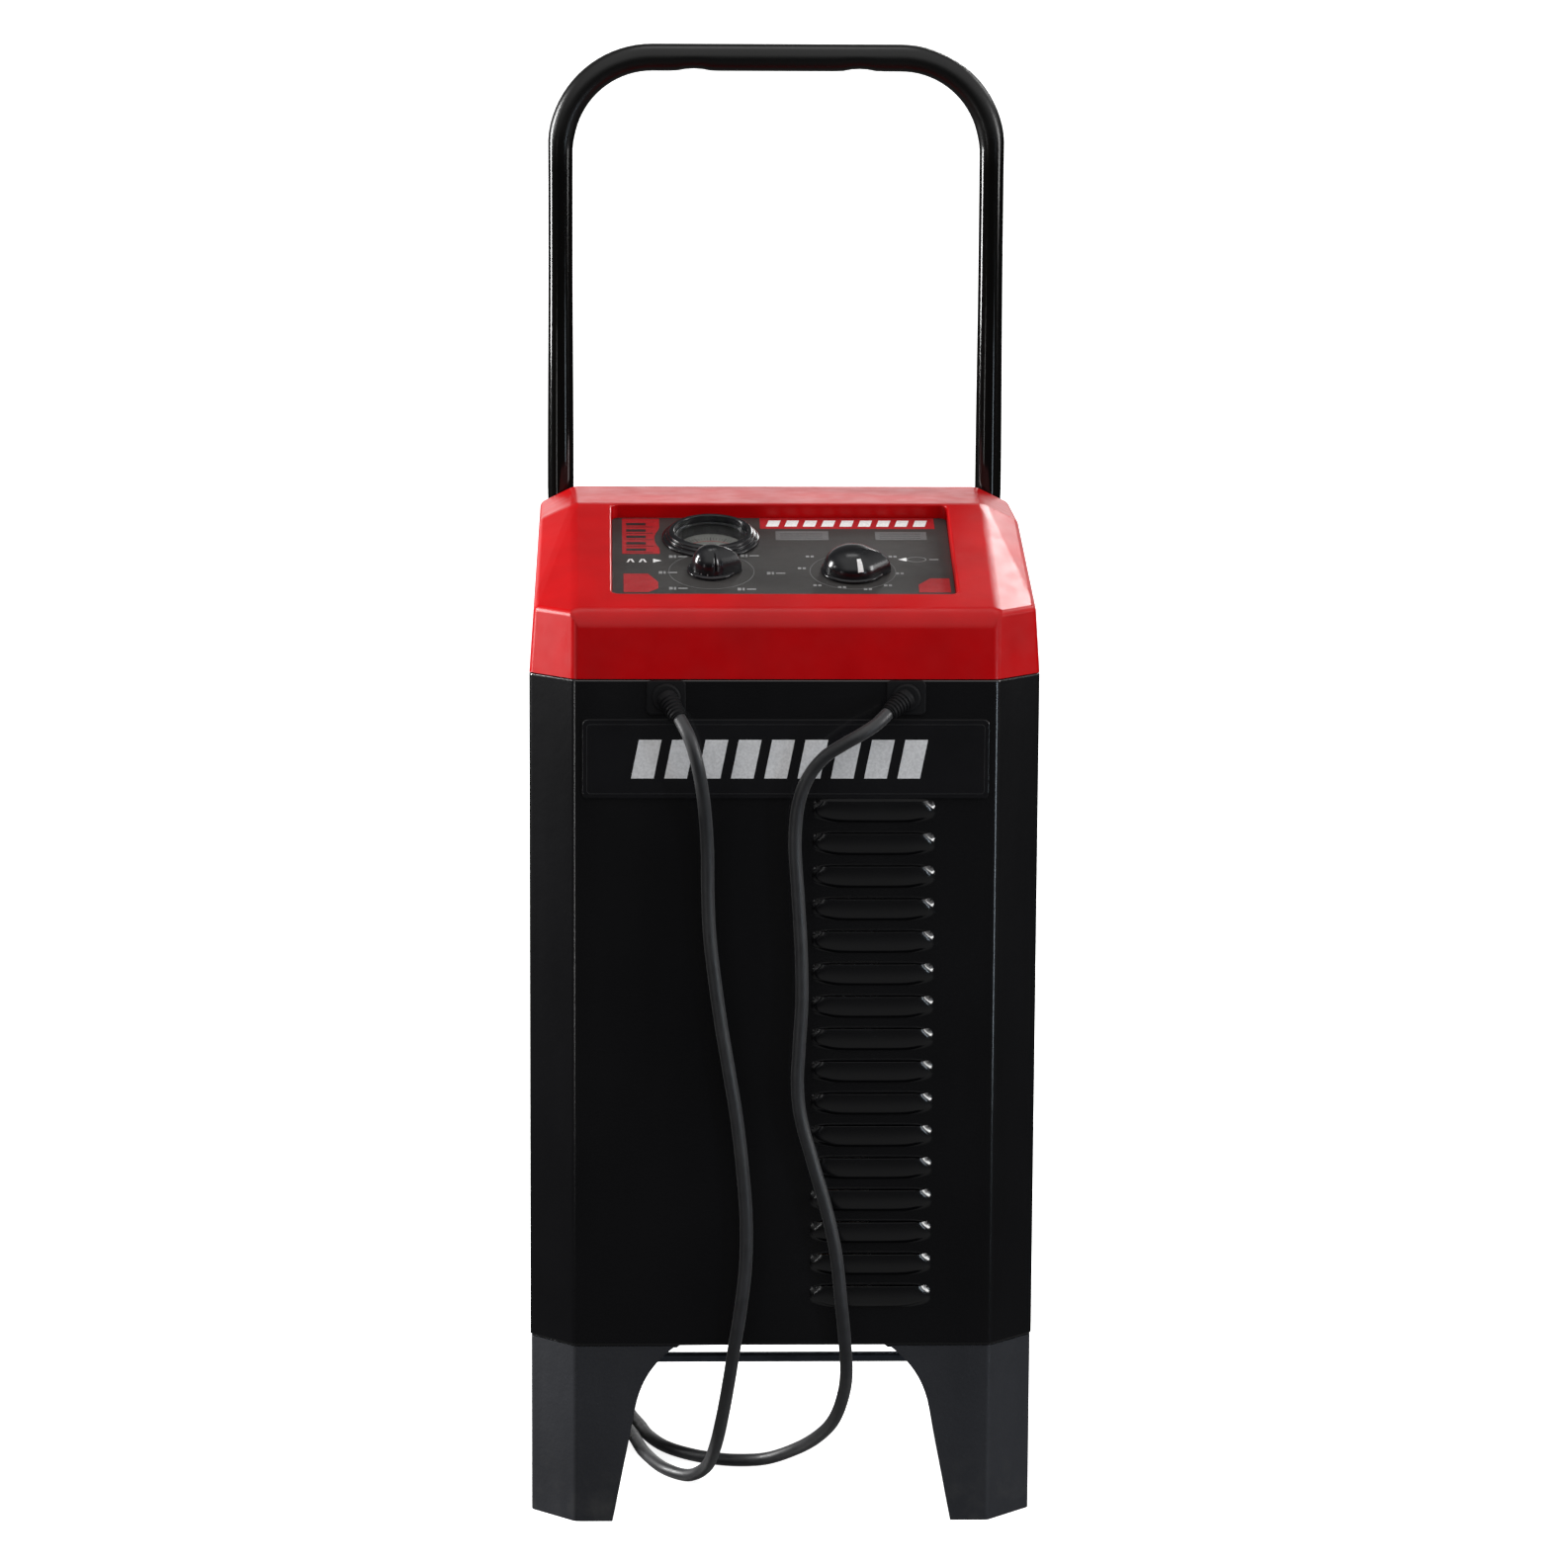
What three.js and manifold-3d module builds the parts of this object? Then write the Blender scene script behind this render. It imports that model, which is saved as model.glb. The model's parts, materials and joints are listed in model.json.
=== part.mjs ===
// Wheeled battery charger: a folded steel cabinet on a front foot and two rear wheels, with a
// moulded cap that carries the controls, a bent tube handle and two output cables with clamps.
//
// Millimetres, +Z up, front towards -Y. Inside this file y = 0 is the cabinet's front face; the
// last lines shift the whole object so that its origin is the middle of its footprint.
import * as THREE from "three";
import { ConvexGeometry } from "three/addons/geometries/ConvexGeometry.js";
import { mergeVertices } from "three/addons/utils/BufferGeometryUtils.js";
import Module from "manifold-3d";

const wasm = await Module();
wasm.setup();

// ---------------------------------------------------------------- driving dimensions
const GAP = 0.3; // clearance kept between neighbouring pieces
const SHEET = 1.5; // steel sheet of the cabinet

const WIDTH = 330; // cabinet, outside
const DEPTH = 262; // front face to back of the rear panel
const BEVEL = 29; // the two vertical bevels beside the front face
const CABINET_BOTTOM = 119.2;
const CABINET_TOP = 560;
const HALF = WIDTH / 2;

const CAP_BREAK_Z = 603; // where the cap's upright band meets its sloping face
const CAP_BREAK_Y = 1.3;
const CAP_TOP_Z = 652;
const CAP_RIDGE_Y = 170; // where the sloping face meets the flat top
const CAP_SIDE_Z = 641; // outer edge of the bevel along each side of the top
const CAP_WALL = 2.5;
const SLOPE = Math.atan2(CAP_TOP_Z - CAP_BREAK_Z, CAP_RIDGE_Y - CAP_BREAK_Y);

const WELL_WIDTH = 223.4; // recess in the sloping face that holds the control panel
const WELL_LOW = 30.5; // its ends, measured up the slope
const WELL_HIGH = 174.3;
const WELL_DEPTH = 10; // down to the panel's face
const PANEL_SHEET = 1.5;

const LOUVRE_COUNT = 16;
const LOUVRE_PITCH = 21.45;
const LOUVRE_TOP_Z = 481.4;
const LOUVRE_HEIGHT = 14.5;
const LOUVRE_LEFT = 17.5;
const LOUVRE_WIDTH = 79;
const LOUVRE_PROUD = 5;

const WHEEL_RADIUS = 55;
const WHEEL_Y = 204;
const WHEEL_INNER_X = 129;
const WHEEL_WIDTH = 32;
const RIM_RADIUS = 37;
const AXLE_RADIUS = 3.5;
const BRACKET_X = 118;

const FOOT_SHEET = 2;
const FOOT_TOP = CABINET_BOTTOM - 0.5;
const FOOT_DEPTH = 62;
const ARCH_FOOT_X = 111; // half width of the arch at the floor, at its shoulder and at its top
const ARCH_SHOULDER_X = 97.3;
const ARCH_SHOULDER_Z = 71;
const ARCH_TOP_X = 68.5;

const TUBE_RADIUS = 8; // handle
const TUBE_WALL = 1.5;
const HANDLE_X = 146;
const HANDLE_Y = DEPTH + 10;
const HANDLE_TOP_Z = 950;
const HANDLE_LOW_Z = 330;
const HANDLE_BEND = 62;
const CLIP_SHEET = 2;
const CLIP_HEIGHTS = [360, 520];

const GLAND_X = 60; // hole for the mains cord, in the rear panel
const GLAND_Z = 165;
const GLAND_NECK = 7;

const CABLE_RADIUS = 4.25;
const EXIT_X = 77;
const EXIT_Z = 548.5;
const BOOT_LENGTH = 20;
const BOOT_GAP = 0.8; // from the boot to the cable solid, whose end is not quite square to it
const COIL_RADIUS = 50; // middle of the stored turns

const METER_AT = [-46, 139.5]; // places on the control panel: across, and up the slope
const SELECTOR_AT = [-46.5, 87];
const TIMER_AT = [46, 87];
const REST_POINTER = THREE.MathUtils.degToRad(-4);

// ---------------------------------------------------------------- materials
const paint = (color, roughness, metalness = 0) =>
  new THREE.MeshStandardMaterial({ color, roughness, metalness });

const BLACK_STEEL = paint(0x0c0c0e, 0.28, 0.2);
const SATIN_STEEL = paint(0x26282d, 0.5, 0.3);
const ZINC = paint(0xb0b2b4, 0.35, 0.9);
const RED_PLASTIC = paint(0xa30508, 0.35);
const RED_GRIP = paint(0xb01010, 0.5);
const BLACK_GRIP = paint(0x141414, 0.5);
const PANEL_GREY = paint(0x41413f, 0.7);
const GLOSS_BLACK = paint(0x09090a, 0.12);
const MATTE_BLACK = paint(0x161617, 0.6);
const RUBBER = paint(0x1a1a1b, 0.85);
const CABLE_JACKET = paint(0x2d2d30, 0.6);
const DIAL_WHITE = paint(0xe8e6dc, 0.6);
const CLEAR = paint(0xdfe6e8, 0.05);
const COPPER = paint(0xb26a3a, 0.4, 0.8);
const CORE_STEEL = paint(0x5c5f63, 0.55, 0.7);
const ALUMINIUM = paint(0xb8babd, 0.4, 0.9);
const BADGE_BLACK = paint(0x101012, 0.2);

// ---------------------------------------------------------------- solids
function solid(geometry) {
  const bare = geometry.clone();
  bare.deleteAttribute("normal");
  bare.deleteAttribute("uv");
  const merged = mergeVertices(bare, 1e-4);
  return new wasm.Manifold(
    new wasm.Mesh({
      numProp: 3,
      vertProperties: new Float32Array(merged.attributes.position.array),
      triVerts: new Uint32Array(merged.index.array),
    }),
  );
}

function geometryOf(body) {
  const { vertProperties, triVerts } = body.getMesh();
  const geometry = new THREE.BufferGeometry();
  geometry.setAttribute("position", new THREE.BufferAttribute(vertProperties, 3));
  geometry.setIndex(new THREE.BufferAttribute(triVerts, 1));
  geometry.computeVertexNormals();
  return geometry;
}

function join(first, ...others) {
  return geometryOf(others.reduce((body, g) => body.add(solid(g)), solid(first)));
}

function cut(first, ...tools) {
  return geometryOf(tools.reduce((body, g) => body.subtract(solid(g)), solid(first)));
}

function common(first, second) {
  return geometryOf(solid(first).intersect(solid(second)));
}

// A box between two opposite corners.
function block(low, high) {
  const size = high.map((v, i) => v - low[i]);
  const middle = high.map((v, i) => (v + low[i]) / 2);
  return new THREE.BoxGeometry(...size).translate(...middle);
}

// A solid of revolution about Z from a closed profile of [radius, height] points.
function turned(profile, segments = 32) {
  const closed = [...profile, profile[0]].map(([r, h]) => new THREE.Vector2(r, h));
  return new THREE.LatheGeometry(closed, segments).rotateX(Math.PI / 2);
}

// A plain cylinder along Z that starts at the given height.
function rod(radius, low, high, segments = 24) {
  return new THREE.CylinderGeometry(radius, radius, high - low, segments)
    .rotateX(Math.PI / 2)
    .translate(0, 0, (low + high) / 2);
}

// A flat outline in plan, raised from one height to another.
function raised(outline, low, high) {
  const options = { depth: high - low, bevelEnabled: false, curveSegments: 4 };
  return new THREE.ExtrudeGeometry(outline, options).translate(0, 0, low);
}

// An outline drawn across (x) and up (z), carried back from one y to another.
function carriedBack(outline, front, back) {
  const options = { depth: back - front, bevelEnabled: false, curveSegments: 4 };
  return new THREE.ExtrudeGeometry(outline, options)
    .rotateX(Math.PI / 2)
    .translate(0, back, 0);
}

function polygon(points) {
  return new THREE.Shape(points.map(([x, y]) => new THREE.Vector2(x, y)));
}

function roundedRectangle(width, height, radius) {
  const [x, y] = [width / 2, height / 2];
  const shape = new THREE.Shape();
  shape.moveTo(-x + radius, -y);
  shape.lineTo(x - radius, -y);
  shape.absarc(x - radius, -y + radius, radius, -Math.PI / 2, 0);
  shape.lineTo(x, y - radius);
  shape.absarc(x - radius, y - radius, radius, 0, Math.PI / 2);
  shape.lineTo(-x + radius, y);
  shape.absarc(-x + radius, y - radius, radius, Math.PI / 2, Math.PI);
  shape.lineTo(-x, -y + radius);
  shape.absarc(-x + radius, -y + radius, radius, Math.PI, 1.5 * Math.PI);
  return shape;
}

// Plan of the cabinet with its two front bevels, shrunk by inset.
function cabinetPlan(inset, back) {
  const bevel = BEVEL - inset * (2 - Math.SQRT2);
  const [side, front] = [HALF - inset, inset];
  return [
    [-side, back],
    [-side, front + bevel],
    [-side + bevel, front],
    [side - bevel, front],
    [side, front + bevel],
    [side, back],
  ];
}

// A round section swept along a path, solid or hollow.
function swept(path, radius, steps, sides, hole = 0) {
  const section = new THREE.Shape();
  section.absarc(0, 0, radius, 0, 2 * Math.PI);
  if (hole) {
    const inside = new THREE.Path();
    inside.absarc(0, 0, hole, 0, 2 * Math.PI, true);
    section.holes.push(inside);
  }
  const options = { extrudePath: path, steps, curveSegments: sides / 2 };
  return new THREE.ExtrudeGeometry(section, options);
}

// A path given by its stations, so that straight runs take no extra steps.
class StationPath extends THREE.Curve {
  constructor(stations) {
    super();
    this.stations = stations;
  }
  station(u) {
    return this.stations[Math.round(u * (this.stations.length - 1))];
  }
  getPointAt(u) {
    return this.station(u).point.clone();
  }
  getTangentAt(u) {
    return this.station(u).tangent.clone();
  }
  getSpacedPoints() {
    return this.stations.map(({ point }) => point.clone());
  }
}

function part(name, geometry, material, parent) {
  const mesh = new THREE.Mesh(geometry, material);
  mesh.name = name;
  parent.add(mesh);
  return mesh;
}

const charger = new THREE.Group();
const sides = [
  ["left", -1],
  ["right", 1],
];

// ---------------------------------------------------------------- cabinet
// One louvre: a hood that stands proud at its straight top lip and runs back into the sheet.
function louvreSection(lip, run, front, back) {
  const shape = new THREE.Shape();
  shape.moveTo(back, lip);
  shape.lineTo(front, lip);
  shape.quadraticCurveTo(front * 0.95, lip - run * 0.62, 0, lip - run);
  shape.lineTo(back, lip - run);
  return shape;
}

function louvreSolid(section, left, width) {
  const options = { depth: width, bevelEnabled: false, curveSegments: 4 };
  // Drawn in (y, z), then stood up so that the extrusion runs along X.
  const geometry = new THREE.ExtrudeGeometry(section, options);
  const stand = new THREE.Matrix4().set(0, 0, 1, left, 1, 0, 0, 0, 0, 1, 0, 0, 0, 0, 0, 1);
  return geometry.applyMatrix4(stand);
}

function cabinetShell() {
  const [outer, inner] = [cabinetPlan(0, DEPTH - 2), cabinetPlan(SHEET, DEPTH - 3.5)];
  const flange = 12;
  const side = HALF - SHEET;
  const outline = [
    ...outer,
    [side - flange, DEPTH - 2],
    [side - flange, DEPTH - 3.5],
    ...inner.reverse(),
    [-side + flange, DEPTH - 3.5],
    [-side + flange, DEPTH - 2],
  ];
  const hood = 1.2;
  let body = solid(raised(polygon(outline), CABINET_BOTTOM, CABINET_TOP));
  for (let i = 0; i < LOUVRE_COUNT; i += 1) {
    const lip = LOUVRE_TOP_Z - i * LOUVRE_PITCH;
    const outside = louvreSection(lip, LOUVRE_HEIGHT, -LOUVRE_PROUD, 0.5);
    const inside = louvreSection(lip + 0.2, LOUVRE_HEIGHT - 2, -LOUVRE_PROUD + hood, 3);
    body = body.add(solid(louvreSolid(outside, LOUVRE_LEFT, LOUVRE_WIDTH)));
    body = body.subtract(
      solid(louvreSolid(inside, LOUVRE_LEFT + hood, LOUVRE_WIDTH - 2 * hood)),
    );
  }
  for (const [, sign] of sides) {
    const hole = rod(CABLE_RADIUS + 2.5, -4, 8).rotateX(Math.PI / 2);
    body = body.subtract(solid(hole.translate(sign * EXIT_X, 0, EXIT_Z)));
  }
  return geometryOf(body);
}

function rearPanel() {
  const sheet = block(
    [-HALF + 0.5, DEPTH - 2 + GAP, CABINET_BOTTOM],
    [HALF - 0.5, DEPTH, CABINET_TOP],
  );
  const cuts = [];
  const [slots, pitch, half] = [9, 13, 34];
  for (const column of [-1, 1]) {
    for (let i = 0; i < slots; i += 1) {
      const z = 430 + i * pitch;
      cuts.push(block([column * 62 - half, DEPTH - 4, z], [column * 62 + half, DEPTH + 2, z + 5]));
    }
  }
  const gland = rod(GLAND_NECK + GAP, -6, 6).rotateX(Math.PI / 2);
  cuts.push(gland.translate(GLAND_X, DEPTH, GLAND_Z));
  return cut(sheet, ...cuts);
}

function powerGland() {
  const profile = [
    [4.4, -12],
    [GLAND_NECK, -12],
    [GLAND_NECK, GAP],
    [11, GAP],
    [11, 5],
    [8.5, 7],
    [7, 15],
    [4.4, 15],
  ];
  return turned(profile, 24)
    .rotateX(-Math.PI / 2)
    .translate(GLAND_X, DEPTH, GLAND_Z);
}

function basePlate() {
  const clear = SHEET + GAP;
  const back = DEPTH - 3.5 - GAP;
  const tray = raised(polygon(cabinetPlan(clear, back)), CABINET_BOTTOM, CABINET_BOTTOM + 14);
  const hollow = raised(
    polygon(cabinetPlan(clear + SHEET, back - SHEET)),
    CABINET_BOTTOM + SHEET,
    CABINET_BOTTOM + 20,
  );
  return cut(tray, hollow);
}

function frontBadge() {
  const plate = roundedRectangle(261.5, 51, 3.2);
  return carriedBack(plate, -GAP - 1.4, -GAP).translate(0, 0, 508.5);
}

part("cabinet_shell", cabinetShell(), BLACK_STEEL, charger);
part("rear_panel", rearPanel(), BLACK_STEEL, charger);
part("base_plate", basePlate(), SATIN_STEEL, charger);
part("front_badge", frontBadge(), BADGE_BLACK, charger);
part("power_cord_gland", powerGland(), MATTE_BLACK, charger);

// ---------------------------------------------------------------- foot, axle and wheels
function archOutline() {
  const shape = new THREE.Shape();
  shape.moveTo(-ARCH_FOOT_X, -1);
  shape.lineTo(-ARCH_SHOULDER_X, ARCH_SHOULDER_Z);
  shape.bezierCurveTo(-94.5, 92, -86, 107, -ARCH_TOP_X, FOOT_TOP + 1);
  shape.lineTo(ARCH_TOP_X, FOOT_TOP + 1);
  shape.bezierCurveTo(86, 107, 94.5, 92, ARCH_SHOULDER_X, ARCH_SHOULDER_Z);
  shape.lineTo(ARCH_FOOT_X, -1);
  return shape;
}

function frontFoot() {
  const inset = 0.8;
  const outline = [
    ...cabinetPlan(inset, FOOT_DEPTH),
    ...cabinetPlan(inset + FOOT_SHEET, FOOT_DEPTH).reverse(),
  ];
  const walls = raised(polygon(outline), 0, FOOT_TOP);
  const flange = raised(polygon(cabinetPlan(inset + 1, FOOT_DEPTH)), FOOT_TOP - 1.5, FOOT_TOP);
  const arch = carriedBack(archOutline(), -2, 9);
  return cut(join(walls, flange), arch);
}

function axleBracket(sign) {
  const ear = new THREE.Shape();
  const [y, z, r] = [WHEEL_Y, WHEEL_RADIUS, 13];
  ear.moveTo(y - 24, FOOT_TOP);
  ear.lineTo(y - r, z);
  ear.absarc(y, z, r, Math.PI, 2 * Math.PI);
  ear.lineTo(y + 24, FOOT_TOP);
  const plate = new THREE.ExtrudeGeometry(ear, { depth: 2, bevelEnabled: false, curveSegments: 8 });
  plate.applyMatrix4(
    new THREE.Matrix4().set(0, 0, 1, BRACKET_X, 1, 0, 0, 0, 0, 1, 0, 0, 0, 0, 0, 1),
  );
  const flange = block([BRACKET_X - 20, y - 24, FOOT_TOP - 2], [BRACKET_X + 1, y + 24, FOOT_TOP]);
  const bore = rod(AXLE_RADIUS + GAP, BRACKET_X - 4, BRACKET_X + 6)
    .rotateY(Math.PI / 2)
    .translate(0, y, z);
  const bracket = cut(join(plate, flange), bore);
  return sign > 0 ? bracket : mirrored(bracket);
}

// The same solid on the other side of the middle plane.
function mirrored(geometry) {
  const copy = geometry.clone().scale(-1, 1, 1);
  const index = copy.index.array;
  for (let i = 0; i < index.length; i += 3) {
    [index[i], index[i + 1]] = [index[i + 1], index[i]];
  }
  copy.computeVertexNormals();
  return copy;
}

// Wheel parts are turned about Z from the inner face outwards, then laid along X.
function onAxle(geometry, sign) {
  const laid = geometry.rotateY((sign * Math.PI) / 2);
  return laid.translate(sign * WHEEL_INNER_X, WHEEL_Y, WHEEL_RADIUS);
}

function tyre() {
  const [w, r, inner] = [WHEEL_WIDTH, WHEEL_RADIUS, RIM_RADIUS + 0.15];
  return turned(
    [
      [inner, 1],
      [r - 9, 0],
      [r - 3, 2],
      [r, 6],
      [r, w - 6],
      [r - 3, w - 2],
      [r - 9, w],
      [inner, w - 1],
    ],
    36,
  );
}

function hub() {
  const w = WHEEL_WIDTH;
  const bore = AXLE_RADIUS + GAP;
  return turned(
    [
      [bore, -7.5],
      [9, -7.5],
      [11, 2],
      [RIM_RADIUS - 4, 12],
      [RIM_RADIUS - 4, 1.5],
      [RIM_RADIUS, 1.5],
      [RIM_RADIUS, w - 1.5],
      [RIM_RADIUS - 4, w - 1.5],
      [RIM_RADIUS - 4, 17],
      [12, 20],
      [10, w],
      [bore, w],
    ],
    24,
  );
}

function axleCap() {
  const w = WHEEL_WIDTH;
  return turned(
    [
      [0, w + 2.4],
      [AXLE_RADIUS + GAP, w + 2.4],
      [AXLE_RADIUS + GAP, w + GAP],
      [7.5, w + GAP],
      [6.5, w + 2.6],
      [3, w + 3.7],
      [0, w + 3.7],
    ],
    24,
  );
}

const axleReach = WHEEL_INNER_X + WHEEL_WIDTH + 2;
const axle = rod(AXLE_RADIUS, -axleReach, axleReach)
  .rotateY(Math.PI / 2)
  .translate(0, WHEEL_Y, WHEEL_RADIUS);
part("front_foot", frontFoot(), SATIN_STEEL, charger);
part("axle", axle, ZINC, charger);
for (const [side, sign] of sides) {
  part(`axle_bracket_${side}`, axleBracket(sign), SATIN_STEEL, charger);
  part(`tyre_${side}`, onAxle(tyre(), sign), RUBBER, charger);
  part(`wheel_hub_${side}`, onAxle(hub(), sign), MATTE_BLACK, charger);
  part(`axle_cap_${side}`, onAxle(axleCap(), sign), ZINC, charger);
}

// ---------------------------------------------------------------- cap
// Outside of the cap, or with an inset the hollow inside it.
function capBody(inset, bottom) {
  const points = [];
  const back = DEPTH - inset;
  for (const sign of [-1, 1]) {
    const add = (x, y, z) => points.push(new THREE.Vector3(sign * (x - inset), y, z));
    add(HALF - BEVEL, inset, bottom);
    add(HALF, BEVEL + inset, bottom);
    add(HALF, back, bottom);
    add(HALF - BEVEL - 0.2, CAP_BREAK_Y + inset, CAP_BREAK_Z - inset);
    add(HALF - 3, BEVEL + inset, CAP_BREAK_Z - inset);
    add(HALF - 5.4, CAP_RIDGE_Y, CAP_SIDE_Z - inset);
    add(HALF - 5.4, back, CAP_SIDE_Z - inset);
    add(HALF - BEVEL + 0.5, CAP_RIDGE_Y, CAP_TOP_Z - inset);
    add(HALF - BEVEL + 1, back, CAP_TOP_Z - inset);
  }
  return new ConvexGeometry(points);
}

// Moves a solid from the panel's own frame (x across, y up the slope, z out) to the cabinet's.
function onSlope(geometry) {
  return geometry.rotateX(SLOPE).translate(0, CAP_BREAK_Y, CAP_BREAK_Z);
}

function wellPrism(grow, low, high, radius) {
  const middle = (WELL_LOW + WELL_HIGH) / 2;
  const outline = roundedRectangle(
    WELL_WIDTH + 2 * grow,
    WELL_HIGH - WELL_LOW + 2 * grow,
    radius,
  );
  return onSlope(raised(outline, low, high).translate(0, middle, 0));
}

function topCap() {
  const outside = capBody(0, CABINET_TOP + GAP);
  const shell = cut(outside, capBody(CAP_WALL, CABINET_TOP - 5));
  const walls = common(wellPrism(2.2, -WELL_DEPTH - 3.5, 4, 7), outside);
  const ledge = -WELL_DEPTH - PANEL_SHEET - GAP;
  return cut(join(shell, walls), wellPrism(0, ledge, 9, 5), wellPrism(-4, -20, 9, 3));
}

part("top_cap", topCap(), RED_PLASTIC, charger);

// ---------------------------------------------------------------- control panel
// Everything below is drawn in the panel's frame: x across, y up the slope, z = 0 on its face.
const panel = new THREE.Group();
panel.position.set(0, CAP_BREAK_Y, CAP_BREAK_Z);
panel.rotation.x = SLOPE;
charger.add(panel);
const face = new THREE.Group();
face.position.z = -WELL_DEPTH;
panel.add(face);

const METER_RIM = 26.6;
const METER_HEIGHT = 6.5;
const METER_SUNK = -7.4; // height of the dial's underside
const METER_CASE = 23.5;
const SHAFT_RADIUS = 3.2;

function panelPlate() {
  const [low, high] = [WELL_LOW + 0.4, WELL_HIGH - 0.4];
  const outline = roundedRectangle(WELL_WIDTH - 0.8, high - low, 4.6);
  const plate = raised(outline, -PANEL_SHEET, 0).translate(0, (low + high) / 2, 0);
  const holes = [
    [METER_AT, METER_CASE + GAP],
    [SELECTOR_AT, 5],
    [TIMER_AT, 5],
  ];
  return cut(plate, ...holes.map(([at, r]) => rod(r, -5, 5, 32).translate(...at, 0)));
}

function meterBezel() {
  return turned(
    [
      [METER_CASE + 0.6, GAP],
      [32.5, GAP],
      [32.5, 1.4],
      [30.6, 2.2],
      [30.6, 3.2],
      [28.8, 4],
      [28.8, 4.8],
      [METER_RIM, METER_HEIGHT],
      [METER_CASE + 0.6, METER_HEIGHT],
    ],
    32,
  );
}

function meterCase() {
  const [r, wall] = [METER_CASE, 1.5];
  return turned(
    [
      [0, -26],
      [r, -26],
      [r, 0.6],
      [r - wall, 0.6],
      [r - wall, -24],
      [0, -24],
    ],
    24,
  );
}

const NEEDLE_PIVOT = [0, -11];
const NEEDLE_REST = THREE.MathUtils.degToRad(137);

function meterNeedle() {
  const blade = block([-5, -0.5, 1.9], [25, 0.5, 2.4]);
  const boss = rod(2.4, 1.5, 3.2, 16);
  return join(boss, blade)
    .translate(0, 0, METER_SUNK)
    .rotateZ(NEEDLE_REST)
    .translate(...NEEDLE_PIVOT, 0);
}

// Rings of points, one above another, closed by a flat fan at each end.
function lofted(rings) {
  const count = rings[0].length;
  const vertices = rings.flat();
  const faces = [];
  for (let r = 0; r + 1 < rings.length; r += 1) {
    for (let i = 0; i < count; i += 1) {
      const [a, b] = [r * count + i, r * count + ((i + 1) % count)];
      faces.push(a, b, b + count, a, b + count, a + count);
    }
  }
  const last = (rings.length - 1) * count;
  for (let i = 1; i + 1 < count; i += 1) {
    faces.push(0, i + 1, i, last, last + i, last + i + 1);
  }
  const geometry = new THREE.BufferGeometry();
  geometry.setAttribute("position", new THREE.Float32BufferAttribute(vertices.flat(), 3));
  geometry.setIndex(faces);
  return geometry;
}

// A knob with a round back and a pointed nose, domed on top, over a thin round skirt.
function pointerKnob(radius, nose, height, skirt) {
  const tip = 2;
  const lean = Math.acos((radius - tip) / (nose - tip));
  const outline = [];
  const arc = (x, r, from, to, steps) => {
    for (let i = 0; i <= steps; i += 1) {
      const turn = from + ((to - from) * i) / steps;
      outline.push([x + r * Math.cos(turn), r * Math.sin(turn)]);
    }
  };
  arc(0, radius, lean, 2 * Math.PI - lean, 22);
  arc(nose - tip, tip, -lean, lean, 4);
  const levels = [0, 0.3, 0.55, 0.75, 0.88, 0.96, 1];
  const rings = levels.map((level) => {
    const width = Math.max(0.3, (1 - level ** 2.6) ** (1 / 2.2));
    return outline.map(([x, y]) => [x * width, y * width, level * height]);
  });
  const bore = rod(SHAFT_RADIUS + GAP, -1, height * 0.55, 20);
  return cut(join(lofted(rings), rod(skirt, 0, 2.2, 40)), bore).rotateZ(REST_POINTER);
}

// A boxed rotary switch or clockwork timer behind the panel, with a bore for its shaft.
function controlBody(width, depth) {
  const body = block([-width / 2, -width / 2, -depth], [width / 2, width / 2, 0]);
  return cut(body, rod(SHAFT_RADIUS + GAP, -14, 1, 20)).translate(0, 0, -PANEL_SHEET - GAP);
}

function controlShaft(top) {
  return rod(SHAFT_RADIUS, -14, top, 20);
}

function panelPart(name, geometry, material, at) {
  part(name, geometry, material, face).position.set(...at, 0);
}

part("control_panel", panelPlate(), PANEL_GREY, face);
panelPart("meter_bezel", meterBezel(), GLOSS_BLACK, METER_AT);
panelPart("meter_case", meterCase(), MATTE_BLACK, METER_AT);
panelPart("meter_dial", rod(METER_CASE - 1.9, 0, 0.9, 32).translate(0, 0, METER_SUNK), DIAL_WHITE, METER_AT);
panelPart("meter_needle", meterNeedle(), GLOSS_BLACK, METER_AT);
panelPart("meter_lens", rod(METER_CASE + 0.3, 1, 2.2, 32), CLEAR, METER_AT);

const KNOB_LIFT = 0.5;
const [SELECTOR_HEIGHT, TIMER_HEIGHT] = [18, 17];
panelPart(
  "selector_knob",
  pointerKnob(13.5, 20, SELECTOR_HEIGHT, 16).translate(0, 0, KNOB_LIFT),
  GLOSS_BLACK,
  SELECTOR_AT,
);
panelPart(
  "timer_knob",
  pointerKnob(19.5, 25, TIMER_HEIGHT, 21).translate(0, 0, KNOB_LIFT),
  GLOSS_BLACK,
  TIMER_AT,
);
panelPart("selector_shaft", controlShaft(SELECTOR_HEIGHT * 0.5), ZINC, SELECTOR_AT);
panelPart("timer_shaft", controlShaft(TIMER_HEIGHT * 0.5), ZINC, TIMER_AT);
panelPart("selector_switch", controlBody(34, 24), MATTE_BLACK, SELECTOR_AT);
panelPart("timer_movement", controlBody(46, 32), ZINC, TIMER_AT);

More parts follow.
